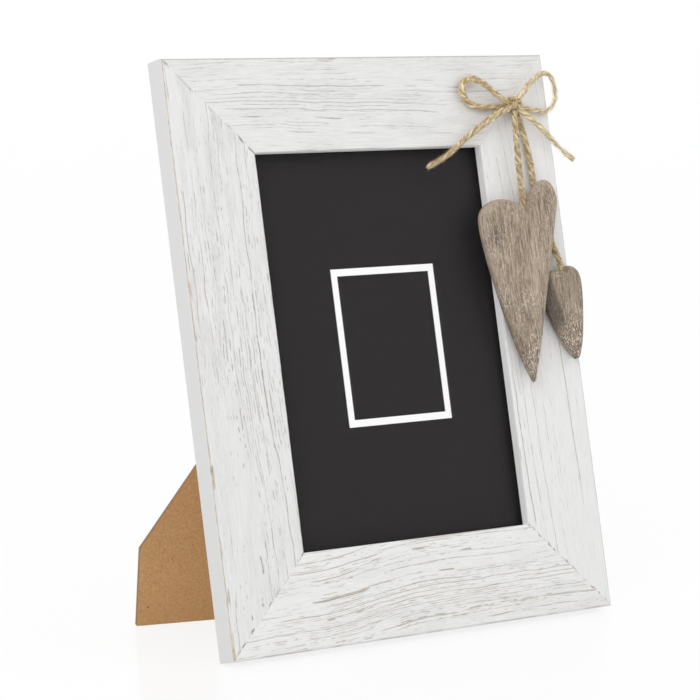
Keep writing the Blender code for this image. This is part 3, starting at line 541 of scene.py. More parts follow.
def moulding_section():
    """Closed section (inward, depth) with its outward normals and the path's length from the outer arris.

    Straight runs and quarter rounds follow each other: outer side, arris, face, sight round, sight
    wall, ledge, rebate wall and back, each sampled at its own step.
    """
    face = -MOULDING_DEPTH
    ledge = face + LIP
    wall = MOULDING_WIDTH - REBATE
    sight = MOULDING_WIDTH
    back = -NAIL_FLUSH
    side_steps = 30

    def run(start, end, normal, count):
        t = np.linspace(0, 1, count, endpoint=False)[:, None]
        points = np.array(start) * (1 - t) + np.array(end) * t
        return points, np.broadcast_to(np.array(normal, float), points.shape)

    def quarter(centre, radius, start, count):
        angle = np.radians(start + np.linspace(0, 90, count, endpoint=False))
        normal = np.stack((np.cos(angle), np.sin(angle)), axis=1)
        return np.array(centre) + radius * normal, normal

    runs = (run((0, back), (0, face + ARRIS), (-1, 0), side_steps),
            quarter((ARRIS, face + ARRIS), ARRIS, 180, 10),
            run((ARRIS, face), (sight - SIGHT_ROUND, face), (0, -1), 206),
            quarter((sight - SIGHT_ROUND, face + SIGHT_ROUND), SIGHT_ROUND, 270, 9),
            run((sight, face + SIGHT_ROUND), (sight, ledge), (1, 0), 8),
            run((sight, ledge), (wall, ledge), (0, 1), 4),
            run((wall, ledge), (wall, back), (1, 0), 4),
            run((wall, back), (0, back), (0, 1), 8))
    points = np.vstack([r[0] for r in runs])
    normals = np.vstack([r[1] for r in runs])
    length = distance_along(points)
    return points, normals, length - length[side_steps]


def open_grain(along, across, look):
    """How bare the wood is, and how thin the paint beside it, 0 to 1, along and across a rail in mm.

    Grain lines follow equal values of a ring: across with a slow wave, a bend and a parting about one line.
    Each line opens where its own noise along the grain is high, more so in its set's cluster, and short
    pores lie between.
    """
    seed = look["seed"]
    wave = look["wave"] * (noise(along / 60, across / 30, seed) - 0.5)
    ripple = look["ripple"] * (noise(along / 9, across / 4, seed + 1) - 0.5)
    bend_from, bend_to, bend = look["bend"]
    part_at, part_from, part_to, part = look["part"]
    ring = across + wave + ripple + look["slope"] * along - bend * ramp(along, bend_from, bend_to)
    ring = ring - part * ramp(along, part_from, part_to) * np.tanh((across - part_at) / 6)
    patchy = 0.5 + look["patchy"] * (layered(along / 60, across / 12, seed + 2) - 0.5)
    patchy = patchy + look["inward"] * (across / 42 - 0.5)
    dense = patchy + cluster(along, across, look["lines"][0][-1])
    pores = ramp(noise(along / 3.2, ring / 0.42, seed + 3), 0.84, 1)
    bare = pores * ramp(dense, 0.42, 0.7) * look["pores"]
    beside = np.zeros_like(bare)
    for turn, (spacing, width, run, open_at, depth, window) in enumerate(look["lines"]):
        own_seed = seed + 10 * turn
        phase = ring / spacing + min(1.6, 2.2 / spacing) * noise(ring / 5, along / 260, own_seed + 4)
        number = np.floor(phase)
        off = np.abs(phase - number - 0.5) * spacing
        own = 0.6 * noise(along / run, number * 1.618, own_seed + 5)
        own = own + 0.4 * noise(3.3 * along / run, number * 2.618, own_seed + 6)
        dense = patchy + cluster(along, across, window)
        opened = ramp(own + 0.55 * (dense - 0.5), open_at, open_at + 0.22)
        opened = opened * depth * (0.3 + 0.7 * noise(number * 3.7, 0.5, own_seed + 7))
        bare = np.maximum(bare, opened * (1 - ramp(off, 0, 1.5 * width)))
        beside = np.maximum(beside, opened * (1 - ramp(off, 0, 5 * width)))
    return np.clip(bare, 0, 1), beside


def paint_thinness(along, across, look):
    """How thin the paint lies: clouds drawn out along the grain, stronger outwards, and stronger towards the
    rail's start as painted shade.
    """
    cloud = ramp(layered(along / 26, across / 5, look["seed"] + 60), 0.38, 0.75)
    outwards = look["thin_out"] * ramp(30 - across, 0, 22)
    # Painted shade: the start of a rail, which is the top of the left stile, gets thinner and darker paint
    return cloud * (look["thin"] + outwards + look["painted_shade_start"] * ramp(-along, -50, 60))


def worn_edge(along, across, middle, reach, gate, seed):
    """Paint rubbed off an edge: a band with a ragged border, open where a noise along it passes the gate."""
    ragged = reach * (0.55 + 0.9 * noise(along / 2.2, across / 0.6, seed))
    wander = 0.5 * reach * (noise(along / 11, 0.5, seed + 1) - 0.5)
    band = 1 - ramp(np.abs(across - middle - wander), 0.5 * ragged, ragged)
    return band * ramp(layered(along / 18, 0.5, seed + 2), gate, gate + 0.1)


def arris_crack(along, across, look):
    """A fine crack that wanders along the face beside the outer arris, open where a noise passes its gate."""
    middle = 1.9 + 0.6 * noise(along / 7, 0.5, look["seed"] + 82)
    opened = noise(along / 10, 0.5, look["seed"] + 83) + look["crack_low"] * ramp(along, 0, 60)
    return (1 - ramp(np.abs(across - middle), 0.1, 0.28)) * ramp(opened, look["crack"], look["crack"] + 0.4)


def mitre_chips(along, across, reach, face_share, look):
    """Paint chipped off the face's mitres: bites of a ragged reach where a noise along the mitre is high."""
    seed = look["seed"]
    end = 0.5 + 20 * np.sign(along)
    chips = 0.78 * ramp(noise(across / look["chip"], end, seed + 84), 0.47, 0.67)
    chips = chips * (0.45 + 0.55 * ramp(noise(across / 9, end, seed + 86), 0.3, 0.6))
    ragged = look["chip"] * (0.4 + 1.2 * noise(across / 1.4, end, seed + 85))
    return (1 - ramp(reach, 0.3 * ragged, ragged)) * chips * face_share * np.where(along < 0, *look["mitre"])


def rail(name, half_length, look, place, turn):
    """A mitred length of whitewashed moulding.

    The section is carried along the rail from mitre to mitre, and each point sinks along its normal
    by the open grain, by the worn edges and by a slow unevenness of the planed wood.
    """
    section, normals, path = moulding_section()
    seed = look["seed"]
    end_steps = END_ROWS / half_length
    reach = END_REACH / half_length
    middle_steps = np.linspace(-1 + reach, 1 - reach, int(2 * half_length / ROW_STEP))
    t = np.concatenate((end_steps - 1, middle_steps, (1 - end_steps)[::-1]))[:, None]
    inward = section[None, :, 0]
    along = t * (half_length - inward - MITRE_GAP) / MM
    across = np.broadcast_to(path[None, :] / MM, along.shape)
    to_mitre = half_length / MM - inward / MM - np.abs(along)
    face_share = ramp(across, *FACE_FROM) * (1 - ramp(across, *SIGHT_FROM))
    wall_share = ramp(across, *SIGHT_FROM) * (1 - ramp(across, *LEDGE_FROM))
    brushed_share = face_share + ramp(across, *BACK_FROM)

    bare, beside = open_grain(along, across, look)
    mitre = mitre_chips(along, across, to_mitre, face_share, look)
    bare = np.maximum(np.maximum(bare * face_share, 0.8 * arris_crack(along, across, look)), mitre)
    thin = np.maximum(paint_thinness(along, across, look), 0.7 * beside * face_share) * brushed_share
    torn_gate = look["torn"] - cluster(along, across, look["tear"])
    torn = worn_edge(along, across, TORN_EDGE, 0.75, torn_gate, seed + 74)
    outer = worn_edge(along, across, OUTER_EDGE, look["edge_reach"], look["edge"], seed + 70)
    sight = worn_edge(along, across, SIGHT_EDGE, 0.35, 0.5, seed + 78)
    worn = np.maximum(np.maximum(look["edge_tone"] * outer, torn), 0.55 * sight)
    uneven = layered(along / 25, across / 5, seed + 90) - 0.5

    sink = (GRAIN_SINK * bare + WEAR_SINK * worn + CHIP_SINK * mitre + UNEVEN_SINK * uneven * face_share) * MM
    profile = section[None] - normals[None] * sink[..., None]
    cosine, sine = math.cos(turn), math.sin(turn)
    across_frame = along * MM * cosine + profile[..., 0] * sine
    up_frame = profile[..., 0] * cosine - along * MM * sine
    placed = np.stack((across_frame + place[0], profile[..., 1], up_frame + place[1]), axis=-1)
    values = {"bare": bare, "worn": np.clip(worn, 0, 1), "thin": np.clip(thin, 0, 1),
              "along": along + 10 * seed, "across": across, "brush": brushed_share,
              "warm": look["warm"], "ashen": look["ashen"] * (1 - torn),
              # Painted light: in full on the sight wall, at the rail's own share elsewhere
              "coat": look["coat"] + (1 - look["coat"]) * wall_share}
    return surface(name + "_wood", in_frame(placed), tube_faces(*along.shape), WHITEWASH, "frame", (name,),
                   values, sharp=50)


# Looks of the four lengths, in mm and as shares.
# lines: sets of grain lines with spacing, width, run, opening level, depth and cluster
# cluster: place along and across, reach along and across, height, as for tear, where the paint is torn
# bend: from, to and shift of the grain; part: middle, from, to and parting of the grain
# edge, torn and crack: level that a noise has to pass; mitre: chips at the start and the end
# The share of whiter paint over a rail is painted light, and its sight wall always gets it in full.
TOP_LOOK = dict(
    seed=100, wave=5, ripple=0.7, slope=0, bend=(0, 1, 0), part=(0, 0, 1, 0), patchy=0.6, inward=0,
    lines=((2, 0.21, 28, 0.5, 0.85, (36, 21, 50, 10, 0.6)),
           (0.9, 0.18, 12, 0.58, 0.55, (32, 18, 42, 9, 0.55))),
    # The top rail's thinner paint is partly painted shade.
    pores=0.3, thin=0.6, thin_out=0, painted_shade_start=0, coat=0, warm=0,
    ashen=0.9, edge=0.2, edge_reach=0.45, edge_tone=0.75, torn=0.74, tear=(0, 0, 5, 5, 0),
    crack=0.75, crack_low=0, chip=1, mitre=(0.15, 1))
BOTTOM_LOOK = TOP_LOOK | dict(
    seed=200, wave=3, slope=-0.012, bend=(-58, 2, 6.5), patchy=0.4,
    lines=((2, 0.2, 45, 0.52, 0.95, (48, 15, 66, 9, 0.75)),
           (3.4, 0.2, 40, 0.42, 0.8, (5, 34, 95, 8, 0.35)),
           (3, 0.34, 12, 0.64, 1, (-47, 20, 20, 7, 0.75)),
           (0.9, 0.2, 6, 0.57, 0.8, (10, 13, 80, 9, 0.6))),
    pores=0.45, thin=0.5, thin_out=0.4, coat=0.25, warm=0.16,
    ashen=0.3, edge=0.44, edge_reach=0.3, edge_tone=0.7, torn=0.7, mitre=(1, 0.9))
LEFT_LOOK = TOP_LOOK | dict(
    seed=300, wave=3, ripple=1.1, part=(17, 0, 110, 5), patchy=0.8, inward=0.35,
    lines=((4.4, 0.24, 30, 0.4, 0.86, (-10, 26, 90, 14, 0.2)),
           (1.3, 0.22, 5, 0.57, 1, (5, 25, 65, 13, 0.28))),
    # Thinner paint towards the top of this stile is painted shade.
    pores=0.5, thin=0.45, painted_shade_start=0.6,
    ashen=0, edge=0.26, edge_reach=0.36, edge_tone=0.8, torn=0.6, tear=(49, 1.5, 5, 5, 0.4),
    crack=0.6, crack_low=0.15, chip=1.7, mitre=(1, 1))
RIGHT_LOOK = TOP_LOOK | dict(
    seed=400, wave=4, ripple=0.6, slope=-0.04, inward=0.4,
    lines=((5, 0.24, 60, 0.46, 0.9, (-40, 30, 70, 7, 0.4)),
           (1.9, 0.19, 8, 0.54, 0.5, (-60, 15, 40, 8, 0.25))),
    pores=0.35, thin=0.25, coat=0.2, warm=0.05, edge_tone=0.9, mitre=(0.8, 0.15))

rail("bottom_rail", FRAME_WIDTH / 2, BOTTOM_LOOK, (0, 0), 0)
rail("top_rail", FRAME_WIDTH / 2, TOP_LOOK, (0, FRAME_HEIGHT), math.pi)
rail("left_stile", FRAME_HEIGHT / 2, LEFT_LOOK, (-FRAME_WIDTH / 2, FRAME_HEIGHT / 2), math.pi / 2)
rail("right_stile", FRAME_HEIGHT / 2, RIGHT_LOOK, (FRAME_WIDTH / 2, FRAME_HEIGHT / 2), -math.pi / 2)


# Keyline on the card


def keyline():
    """A mitred rectangular ring: inner and outer corners on two depths, four points per corner."""
    signs = np.array(((-1, -1), (1, -1), (1, 1), (-1, 1)))
    half = np.array(KEYLINE_SIZE) / 2
    outer = np.array(KEYLINE_MIDDLE) + signs * half
    inner = np.array(KEYLINE_MIDDLE) + signs * (half - KEYLINE_STROKE)
    front = CARD_FRONT - KEYLINE_THICKNESS
    back = CARD_FRONT - KEYLINE_THICKNESS / 10
    loops = ((outer, front), (inner, front), (inner, back), (outer, back))
    points = np.stack([np.stack((loop[:, 0], np.full(4, depth), loop[:, 1]), axis=1)
                       for loop, depth in loops], axis=1)
    faces = grid_quads(5, 4, closed=True) % 16
    return surface("card_keyline", in_frame(points), faces, PRINT, "frame", sharp=30)


keyline()


# Hearts, in mm from the notch: each half has its width, crest, rise, bulge, fullness, point and bend.
# turn and twist: degrees; hollow: a stained cluster; facet, ridge: a flat cut on the left, whose flank beyond
# the ridge is also darkened as painted shade; slim: of the tip
LARGE = dict(drop=76.3, left=(23.3, 10.9, 5.8, -3.9, 0.19, 0.3, 0.88),
             right=(17.1, 11.2, 15, 4.9, 0, 0.32, 0.69), front=5, back=3.6,
             notch=(-2.75, 5.6, -49), turn=4.43, twist=-8,
             hollow=(-17.2, -11.5, 3.8, 8, 0.7), facet=0, ridge=0, slim=0.4, grey=0)
SMALL = dict(drop=39.6, left=(12.7, 7.8, 1.4, -11.1, 0.29, 0.39, 0.88),
             right=(8.7, 2.6, 2.6, -4.5, 0.28, 0.38, 0.92), front=4.4, back=3.2,
             notch=(16.6, 3.3, -76.6), turn=-2.6, twist=0,
             hollow=(-11.5, -14, 3, 9, 0.7), facet=1.8, ridge=0.9, slim=0.15, grey=0.23)
HEART_COLUMNS = 151


def on_heart(shape, points):
    """Points in mm from a heart's notch, turned in the face's plane and twisted about up, in the room."""
    x, y, z = np.moveaxis(np.asarray(points, float), -1, 0)
    turn, twist = math.radians(shape["turn"]), math.radians(shape["twist"])
    x, z = x * math.cos(turn) + z * math.sin(turn), z * math.cos(turn) - x * math.sin(turn)
    x, y = x * math.cos(twist) - y * math.sin(twist), y * math.cos(twist) + x * math.sin(twist)
    across, out, up = shape["notch"]
    return KNOT + np.stack((x + across, y - out, z + up), axis=-1) * MM @ FRAME_AXES


def cubic(points, t):
    """Points of a cubic Bezier curve at the shares t."""
    p0, p1, p2, p3 = (np.array(p, float) for p in points)
    t = t[:, None]
    return p0 * (1 - t) ** 3 + 3 * p1 * t * (1 - t) ** 2 + 3 * p2 * t ** 2 * (1 - t) + p3 * t ** 3


def heart_side(width, crest, rise, bulge, fullness, point, bend, drop):
    """Half of a heart's outline from its notch over the lobe to its tip, in mm."""
    quarter = 0.5523
    inner = ((0, 0), (0.25 * crest, 0.55 * rise), (0.58 * crest, rise), (crest, rise))
    shoulder = ((crest, rise), (crest + quarter * (width - crest), rise),
                (width, bulge + quarter * (rise - bulge)), (width, bulge))
    flank = ((width, bulge), (width, bulge - fullness * (drop + bulge)),
             (point * width, -bend * drop), (0, -drop))
    short = np.linspace(0, 1, 36, endpoint=False)
    long = np.linspace(0, 1, 90)
    return np.vstack((cubic(inner, short), cubic(shoulder, short), cubic(flank, long)))


def heart_wear(shape, x, z, outward, beyond, seed):
    """Open grain, rubbed flecks, stains darker towards the tip, painted shade on a faceted left flank and a
    painted highlight on the rims of a heart, 0 to 1.

    They go by the place in mm, the share of the way out and how far the place lies beyond the ridge.
    """
    down = -z / shape["drop"]
    low = ramp(down, 0.4, 0.9)
    grain = layered(x / 0.5 + 1.2 * noise(z / 9, x / 7, seed), z / 8, seed + 1)
    # Painted shade on the left flank beyond the ridge, in the upper heart: it darkens with the stains and
    # thins the flecks
    flank = 0.55 * shape["facet"] * ramp(beyond, -1.4, 2.4) * (1 - ramp(down, 0.5, 0.8))
    rubbed = (0.25 + 0.75 * ramp(layered(x / 7, z / 10, seed + 4), 0.4, 0.66)) * (0.4 + 1.3 * low)
    rubbed = rubbed * (1 - 0.9 * flank) + 2.2 * shape["grey"] * low * ramp(-beyond, -4, 0)
    streaked = 0.2 + 0.8 * ramp(layered(x / 0.9, z / 9, seed + 8), 0.34, 0.62)
    stain = np.maximum(cluster(x, z, shape["hollow"]) * streaked,
                       shape["grey"] + 0.26 * low + 0.3 * ramp(down, 0.92, 1))
    # The flank's painted shade joins the stains
    stain = np.maximum(stain, flank * (0.86 + 0.14 * noise(x / 1.2, z / 6, seed + 10)))
    # Painted highlight: pale rims along the outline of the upper heart, joined by a paler band down the
    # middle
    rim = 0.6 * ramp(outward, 0.8, 1) * ramp(-down, -0.75, 0)
    valley = np.exp(-((x - 1) / 2.2) ** 2) * ramp(down, 0.05, 0.2) * (1 - ramp(down, 0.45, 0.7))
    return {"bare": 0.75 * ramp(grain, 0.64, 0.86), "rubbed": np.clip(rubbed, 0, 1), "stain": stain,
            "rim": np.maximum(rim, 0.45 * valley)}


def heart(name, shape, seed):
    """A carved heart.

    A row runs from the left outline through the spine to the right one: the share r of the way out stands
    off the middle plane by half the thickness times (1 - r^5)^0.45. Grain and knife marks sink it a little.
    """
    drop = shape["drop"]
    right = heart_side(*shape["right"], drop)
    left = heart_side(*shape["left"], drop) * (-1, 1)
    spine_up = np.clip((right[:, 1] + left[:, 1]) * 0.45, -0.9 * drop, -0.08 * drop)
    spine = np.stack((np.zeros_like(spine_up), spine_up), axis=1)
    share = np.sin(np.linspace(-1, 1, HEART_COLUMNS) * math.pi / 2)[None, :, None]
    edge = np.where(share < 0, left[:, None], right[:, None])
    flat = spine[:, None] + (edge - spine[:, None]) * np.abs(share)
    outward = np.abs(share[..., 0])
    bulge = (1 - outward ** 5) ** 0.45
    x, z = flat[..., 0], flat[..., 1]
    beyond = -(x + 0.22 * (z + drop) + shape["ridge"])
    wear = heart_wear(shape, x, z, outward, beyond, seed)
    facet = shape["facet"] * ramp(beyond, -2.5, 5)
    knife = layered(x / 8, z / 13, seed + 12) - 0.5
    thinner = 1 - shape["slim"] * ramp(-z / drop, 0.7, 1)
    sheets = []
    for half, sign in ((shape["front"], -1), (shape["back"], 1)):
        cut = 0.18 * wear["bare"] + 0.9 * knife * bulge + (facet if sign < 0 else 0)
        depth = sign * bulge * (half - cut * np.minimum(1, 2.2 * bulge)) * thinner
        sheets.append(np.stack((x, depth, z), axis=-1))
    rows, columns = x.shape
    quads = grid_quads(rows, columns)
    faces = np.vstack((quads, quads[:, ::-1] + rows * columns))
    return surface(name + "_wood", on_heart(shape, np.stack(sheets)), faces, WEATHERED, name, (name,), wear,
                   sharp=60, weld=0.004 * MM)


heart("large_heart", LARGE, 500)
heart("small_heart", SMALL, 600)


# Twine


def smooth_route(points, count):
    """Evenly spaced points on a Catmull-Rom spline through the route.

    Its tangent at each route point is half the way from the one before to the one after it.
    """
    knots = np.asarray(points)
    padded = np.vstack((2 * knots[0] - knots[1], knots, 2 * knots[-1] - knots[-2]))
    t = np.linspace(0, 1, ROUTE_STEPS, endpoint=False)[None, :, None]
    p0, p1, p2, p3 = (padded[i:len(padded) - 3 + i, None] for i in range(4))
    fine = 0.5 * (2 * p1 + (p2 - p0) * t + (2 * p0 - 5 * p1 + 4 * p2 - p3) * t ** 2
                  + (3 * p1 - p0 - 3 * p2 + p3) * t ** 3)
    fine = np.vstack((fine.reshape(-1, 3), knots[-1:]))
    length = distance_along(fine)
    stops = np.linspace(0, length[-1], count)
    return np.stack([np.interp(stops, length, fine[:, i]) for i in range(3)], axis=1)


def path_axes(path):
    """Tangent, out and side directions along a path that never runs straight out from the face."""
    tangent = unit(np.gradient(path, axis=0))
    out = unit(-DEPTH_AXIS - tangent * (tangent @ -DEPTH_AXIS)[:, None])
    return tangent, out, np.cross(tangent, out)


def ply_radius(angle):
    """Edge of three touching plies at an angle, as a share of the twine's radius."""
    third = 2 * math.pi / PLIES
    off = np.mod(angle + third / 2, third) - third / 2
    return PLY_MIDDLE * np.cos(off) + np.sqrt(PLY_RADIUS ** 2 - (PLY_MIDDLE * np.sin(off)) ** 2)


def furrow(laid):
    """How deep between two plies an angle lies, 0 to 1, which sets the painted shade there."""
    return ramp(FURROW_EDGE - ply_radius(laid), 0, 0.2)


def twine_surface(path, radius, seed, pitch, pale):
    """Points and values of laid twine: the three-ply edge carried along a path while it turns once a pitch.

    Thickness and lay vary along the path with slow noises, and each ply is roughened by a fine one.
    """
    _, out, side = path_axes(path)
    along = distance_along(path)[:, None]
    angle = circle(TWINE_SIDES)[None, :]
    laid = angle + 2 * math.pi * (along / pitch + 0.22 * noise(along / (5 * MM), 0.5, seed + 3))
    slack_lay = 1.6 * (1 - TWINE_PITCH / pitch)
    share = ply_radius(laid) * (1 - slack_lay) + 0.94 * slack_lay
    rough = 1 + 0.26 * (noise(laid * 3, along / (1.1 * MM), seed) - 0.5)
    slack = 1 + 0.24 * (noise(along / (3 * MM), 0.5, seed + 1) - 0.5)
    wander = 0.2 * TWINE_RADIUS * (noise(along / (4 * MM), angle[:, :2] + 3, seed + 2) - 0.5)
    centre = path + wander[:, :1] * out + wander[:, 1:] * side
    points = ring_points(centre, radius[:, None] * share * rough * slack, angle, out, side)
    return points, {"furrow": (FURROW_SHADE - 0.8 * slack_lay) * furrow(laid), "pale": pale,
                    "around": laid * YARN_TURNS + along / (9 * MM), "along": along / (2.2 * MM) + seed}


def hairs(name, path, axes, count, seed, body, longest):
    """Loose fibres: three-sided threads that leave the twine along its lay and bend away.

    A fibre is the curve start + s * lean + s^2 * bend for s from 0 to 1, thinning to its tip.
    """
    rng = np.random.default_rng(seed)
    tangent, out, side = axes
    pick = rng.integers(2, len(path) - 2, count)
    turn = rng.random(count) * 2 * math.pi
    normal = np.cos(turn)[:, None] * out[pick] + np.sin(turn)[:, None] * side[pick]
    lean = tangent[pick] * rng.choice((-1, 1), count)[:, None] * (0.5 + rng.random((count, 1)))
    lean = lean + normal * (0.25 + 0.75 * rng.random((count, 1)))
    length = longest * (0.25 + 0.75 * rng.random((count, 1)) ** 2)
    lean *= length / np.linalg.norm(lean, axis=1, keepdims=True)
    bend = rng.normal(0, 0.28, (count, 3)) * length
    s = np.linspace(0, 1, HAIR_STEPS)[None, :, None]
    start = path[pick] + normal * TWINE_RADIUS * 0.75
    spine = start[:, None] + s * lean[:, None] + s ** 2 * bend[:, None]
    sunk = np.maximum(0, ((spine - KNOT) @ DEPTH_AXIS + HAIR_CLEARANCE))
    spine = spine + sunk[..., None] * -DEPTH_AXIS
    edge = unit(np.cross(lean, normal))
    third = np.arange(HAIR_SIDES) * 2 * math.pi / HAIR_SIDES
    points = ring_points(spine, HAIR_RADIUS * (1.05 - s), third, normal[:, None], edge[:, None])
    return surface(name, points, tube_faces(HAIR_STEPS, HAIR_SIDES, count), HAIR, body)


def loose_plies(name, path, first, last, swing, seed, body):
    """Three yarns that stand off an opened length of twine.

    Each keeps to the path at an offset that grows and falls as sin^2 over the opened length and turns slowly.
    """
    at = np.linspace(first, last, PLY_STEPS) * (len(path) - 1)
    spine = np.stack([np.interp(at, np.arange(len(path)), path[:, i]) for i in range(3)], axis=1)
    _, out, side = path_axes(spine)
    s = np.linspace(0, 1, PLY_STEPS)
    ply = np.arange(PLIES)[:, None]
    phase = ply * 2.1 + 2.6 * s[None] + seed
    swell = swing * np.sin(math.pi * s) ** 2 * (0.7 + 0.6 * noise(s * 4, ply * 7.3, seed))
    centre = (spine[None] + (0.5 * TWINE_RADIUS + swell)[..., None] * (
        0.45 * np.cos(phase)[..., None] * out[None] + np.sin(phase)[..., None] * side[None]))
    angle = circle(PLY_SIDES)
    thick = 0.4 * TWINE_RADIUS * (0.4 + 0.6 * np.sin(math.pi * s))
    thick = thick * (0.8 + 0.4 * noise(s * 30, 0.5, seed + 2))
    points = ring_points(centre, thick[:, None], angle, out, side)
    values = {"furrow": 0, "around": angle * YARN_TURNS, "along": s[None, :, None] * 14 + ply[..., None] * 9}
    faces = tube_faces(PLY_STEPS, PLY_SIDES, PLIES)
    return surface(name, points, faces, TWINE, body, values=values, sharp=75)


def cord_length(path):
    """Length of a path, in metres."""
    return float(np.linalg.norm(np.diff(path, axis=0), axis=1).sum())


def twine(name, route, body, seed, fibres, taper, pitch=TWINE_PITCH, opened=None, pale=0):
    """A free length of twine on a route, with its loose fibres."""
    count = max(40, int(cord_length(smooth_route(route, 60)) / TWINE_STEP))
    path = smooth_route(route, count)
    radius = TWINE_RADIUS * np.interp(np.linspace(0, 1, count), *taper)
    points, values = twine_surface(path, radius, seed, pitch, pale)
    faces = tube_faces(count, TWINE_SIDES)
    piece = surface(name + "_twine", points, faces, TWINE, body, (name,), values, sharp=75)
    loose = [hairs(name + "_fibres", path, path_axes(path), fibres, seed + 5, body, HAIR_LONGEST)]
    if opened:
        loose.append(loose_plies(name + "_plies", path, *opened, seed + 6, body))
    return piece


# Routes of the bow and the strings, in mm across, out and up from the knot
LEFT_LOOP = ((-3.2, 5.2, 0.6), (-5.4, 5.6, 2), (-9, 5.6, 4.4), (-13.9, 4.6, 9.2), (-19.6, 3.3, 12.4),
             (-24.2, 2.8, 11.2), (-26.2, 2.6, 6.6), (-23.2, 2.5, 1.9), (-17, 2.3, -0.1),
             (-10.4, 2.2, -0.3), (-4.5, 2.2, -0.5), (-3, 2.3, -0.6))
RIGHT_LOOP = ((2.3, 5.2, 2.2), (4, 5.7, 3.9), (6.6, 5.8, 6.2), (12, 5.3, 10.6), (18.6, 4.6, 14),
              (23.6, 4, 13.2), (26.2, 3.3, 7.6), (25.3, 2.7, 0.9), (20, 2.3, -2.8), (12, 2.2, -1.8),
              (4.5, 2.2, -0.6), (3, 2.3, -0.4))
LEFT_TAIL = ((-2.8, 5.2, -1), (-5, 5.7, -2), (-10.2, 5.5, -3.9), (-18, 4.5, -8.4),
             (-27.3, 3.6, -13.9), (-37.6, 3.1, -20.6), (-44.4, 3, -24), (-50.8, 3, -26.5))
RIGHT_TAIL = ((2.3, 5.2, -2), (4.2, 5.7, -3.6), (7.2, 5.6, -5.6), (12.6, 5, -9.5), (19.3, 4.3, -15.5),
              (25.8, 4, -21.4), (31.4, 4, -25.7))
LARGE_STRING = ((-0.6, 5.2, -3), (-1, 5.9, -5.6), (-1.4, 6.1, -9), (-2.1, 6.1, -21),
                (-2.6, 5.9, -36))
SMALL_STRING = ((2.9, 2.3, -3), (3.8, 2, -5.2), (4.7, 2, -8), (7.1, 2, -20.3), (8.2, 1.9, -35),
                (11.6, 1.9, -52), (14.4, 2.5, -65))
# The end of a string in its heart's hole, in mm from the notch
STRING_END = ((0, 0, 4.2), (0, 0, 0), (0, 0, -6.7))

twine("bow_loop_left", from_knot(LEFT_LOOP), "frame", 21, 2600,
      ((0, 0.2, 0.36, 0.52, 0.66, 1), (0.95, 0.92, 1.05, 1.1, 0.95, 0.95)),
      LOOP_PITCH, opened=(0.24, 0.66, 1 * MM))
twine("bow_loop_right", from_knot(RIGHT_LOOP), "frame", 22, 1200,
      ((0, 0.3, 0.45, 0.62, 0.75, 1), (0.95, 0.88, 0.62, 0.5, 0.76, 0.95)),
      LOOP_PITCH, pale=0.2)
twine("bow_tail_left", from_knot(LEFT_TAIL), "frame", 23, 1800,
      ((0, 0.2, 0.36, 0.6, 0.7, 0.9, 0.97, 1), (1.1, 1.22, 1.05, 0.98, 0.8, 0.76, 0.88, 0.75)),
      TAIL_PITCH, pale=-0.06)
twine("bow_tail_right", from_knot(RIGHT_TAIL), "frame", 24, 1000,
      ((0, 0.25, 0.45, 0.6, 0.8, 0.87, 0.94, 1), (1, 0.95, 0.82, 0.62, 0.44, 0.7, 1, 0.8)),
      TAIL_PITCH, pale=0.36)
twine("large_heart_string", np.vstack((from_knot(LARGE_STRING), on_heart(LARGE, STRING_END))),
      "large_heart", 25, 1000, ((0, 1), (1.04, 1.04)), pale=-0.28)
twine("small_heart_string", np.vstack((from_knot(SMALL_STRING), on_heart(SMALL, STRING_END))),
      "small_heart", 26, 1200, ((0, 1), (1.06, 1.06)), pale=-0.25)


# Knot


def knot_wrap(label, middle, half_along, half_out, tilt, seed):
    """A turn of twine pulled tight round the knot: an ellipse square to the face, tilted by degrees."""
    t = circle(KNOT_STEPS)
    tilt = math.radians(tilt)
    across = middle[0] + half_along * np.cos(t) * math.cos(tilt)
    up = middle[2] + half_along * np.cos(t) * math.sin(tilt)
    out = middle[1] + half_out * np.sin(t)
    path = from_knot(np.stack((across, out, up), axis=1))
    tangent = unit(np.roll(path, -1, axis=0) - np.roll(path, 1, axis=0))
    normal = path - path.mean(axis=0)
    normal = unit(normal - tangent * (normal * tangent).sum(axis=1, keepdims=True))
    side = np.cross(tangent, normal)
    turned = t[:, None]
    angle = circle(KNOT_SIDES)[None, :]
    laid = angle + 2 * turned
    share = ply_radius(laid) * (1 + 0.2 * (noise(laid * 3, turned * 3, seed) - 0.5))
    points = ring_points(path, TWINE_RADIUS * share, angle, normal, side)
    values = {"furrow": FURROW_SHADE * furrow(laid), "pale": KNOT_PALE, "around": laid * YARN_TURNS + turned,
              "along": turned * 1.5 + seed}
    faces = grid_quads(KNOT_STEPS + 1, KNOT_SIDES, closed=True) % (KNOT_STEPS * KNOT_SIDES)
    hairs("knot_" + label + "_fibres", path, (tangent, normal, side), KNOT_HAIRS, seed + 5, "frame",
          KNOT_HAIR_LONGEST)
    return surface("knot_" + label, points, faces, TWINE, "frame", ("bow_knot",), values, sharp=75)


knot_wrap("turn_over", (-1.5, 4.5, -0.5), 3.2, 2.1, 27, 31)
knot_wrap("turn_top", (1.2, 4.2, 1.9), 2.3, 2.1, -25, 33)
knot_wrap("turn_side", (2.5, 4, -0.5), 2.4, 1.9, 82, 34)
knot_wrap("turn_under", (0.3, 3.4, -0.2), 2.4, 1.5, -50, 32)


# Pieces carried over from the solids


def widest_face(name):
    """Outward direction of a node's largest face."""
    return tuple(max(frame["nodes"][name].data.polygons, key=lambda face: face.area).normal)


def nodes_of(*beginnings):
    """Names of the solids that begin with one of these words."""
    return [name for name in frame["nodes"] if name.startswith(beginnings)]


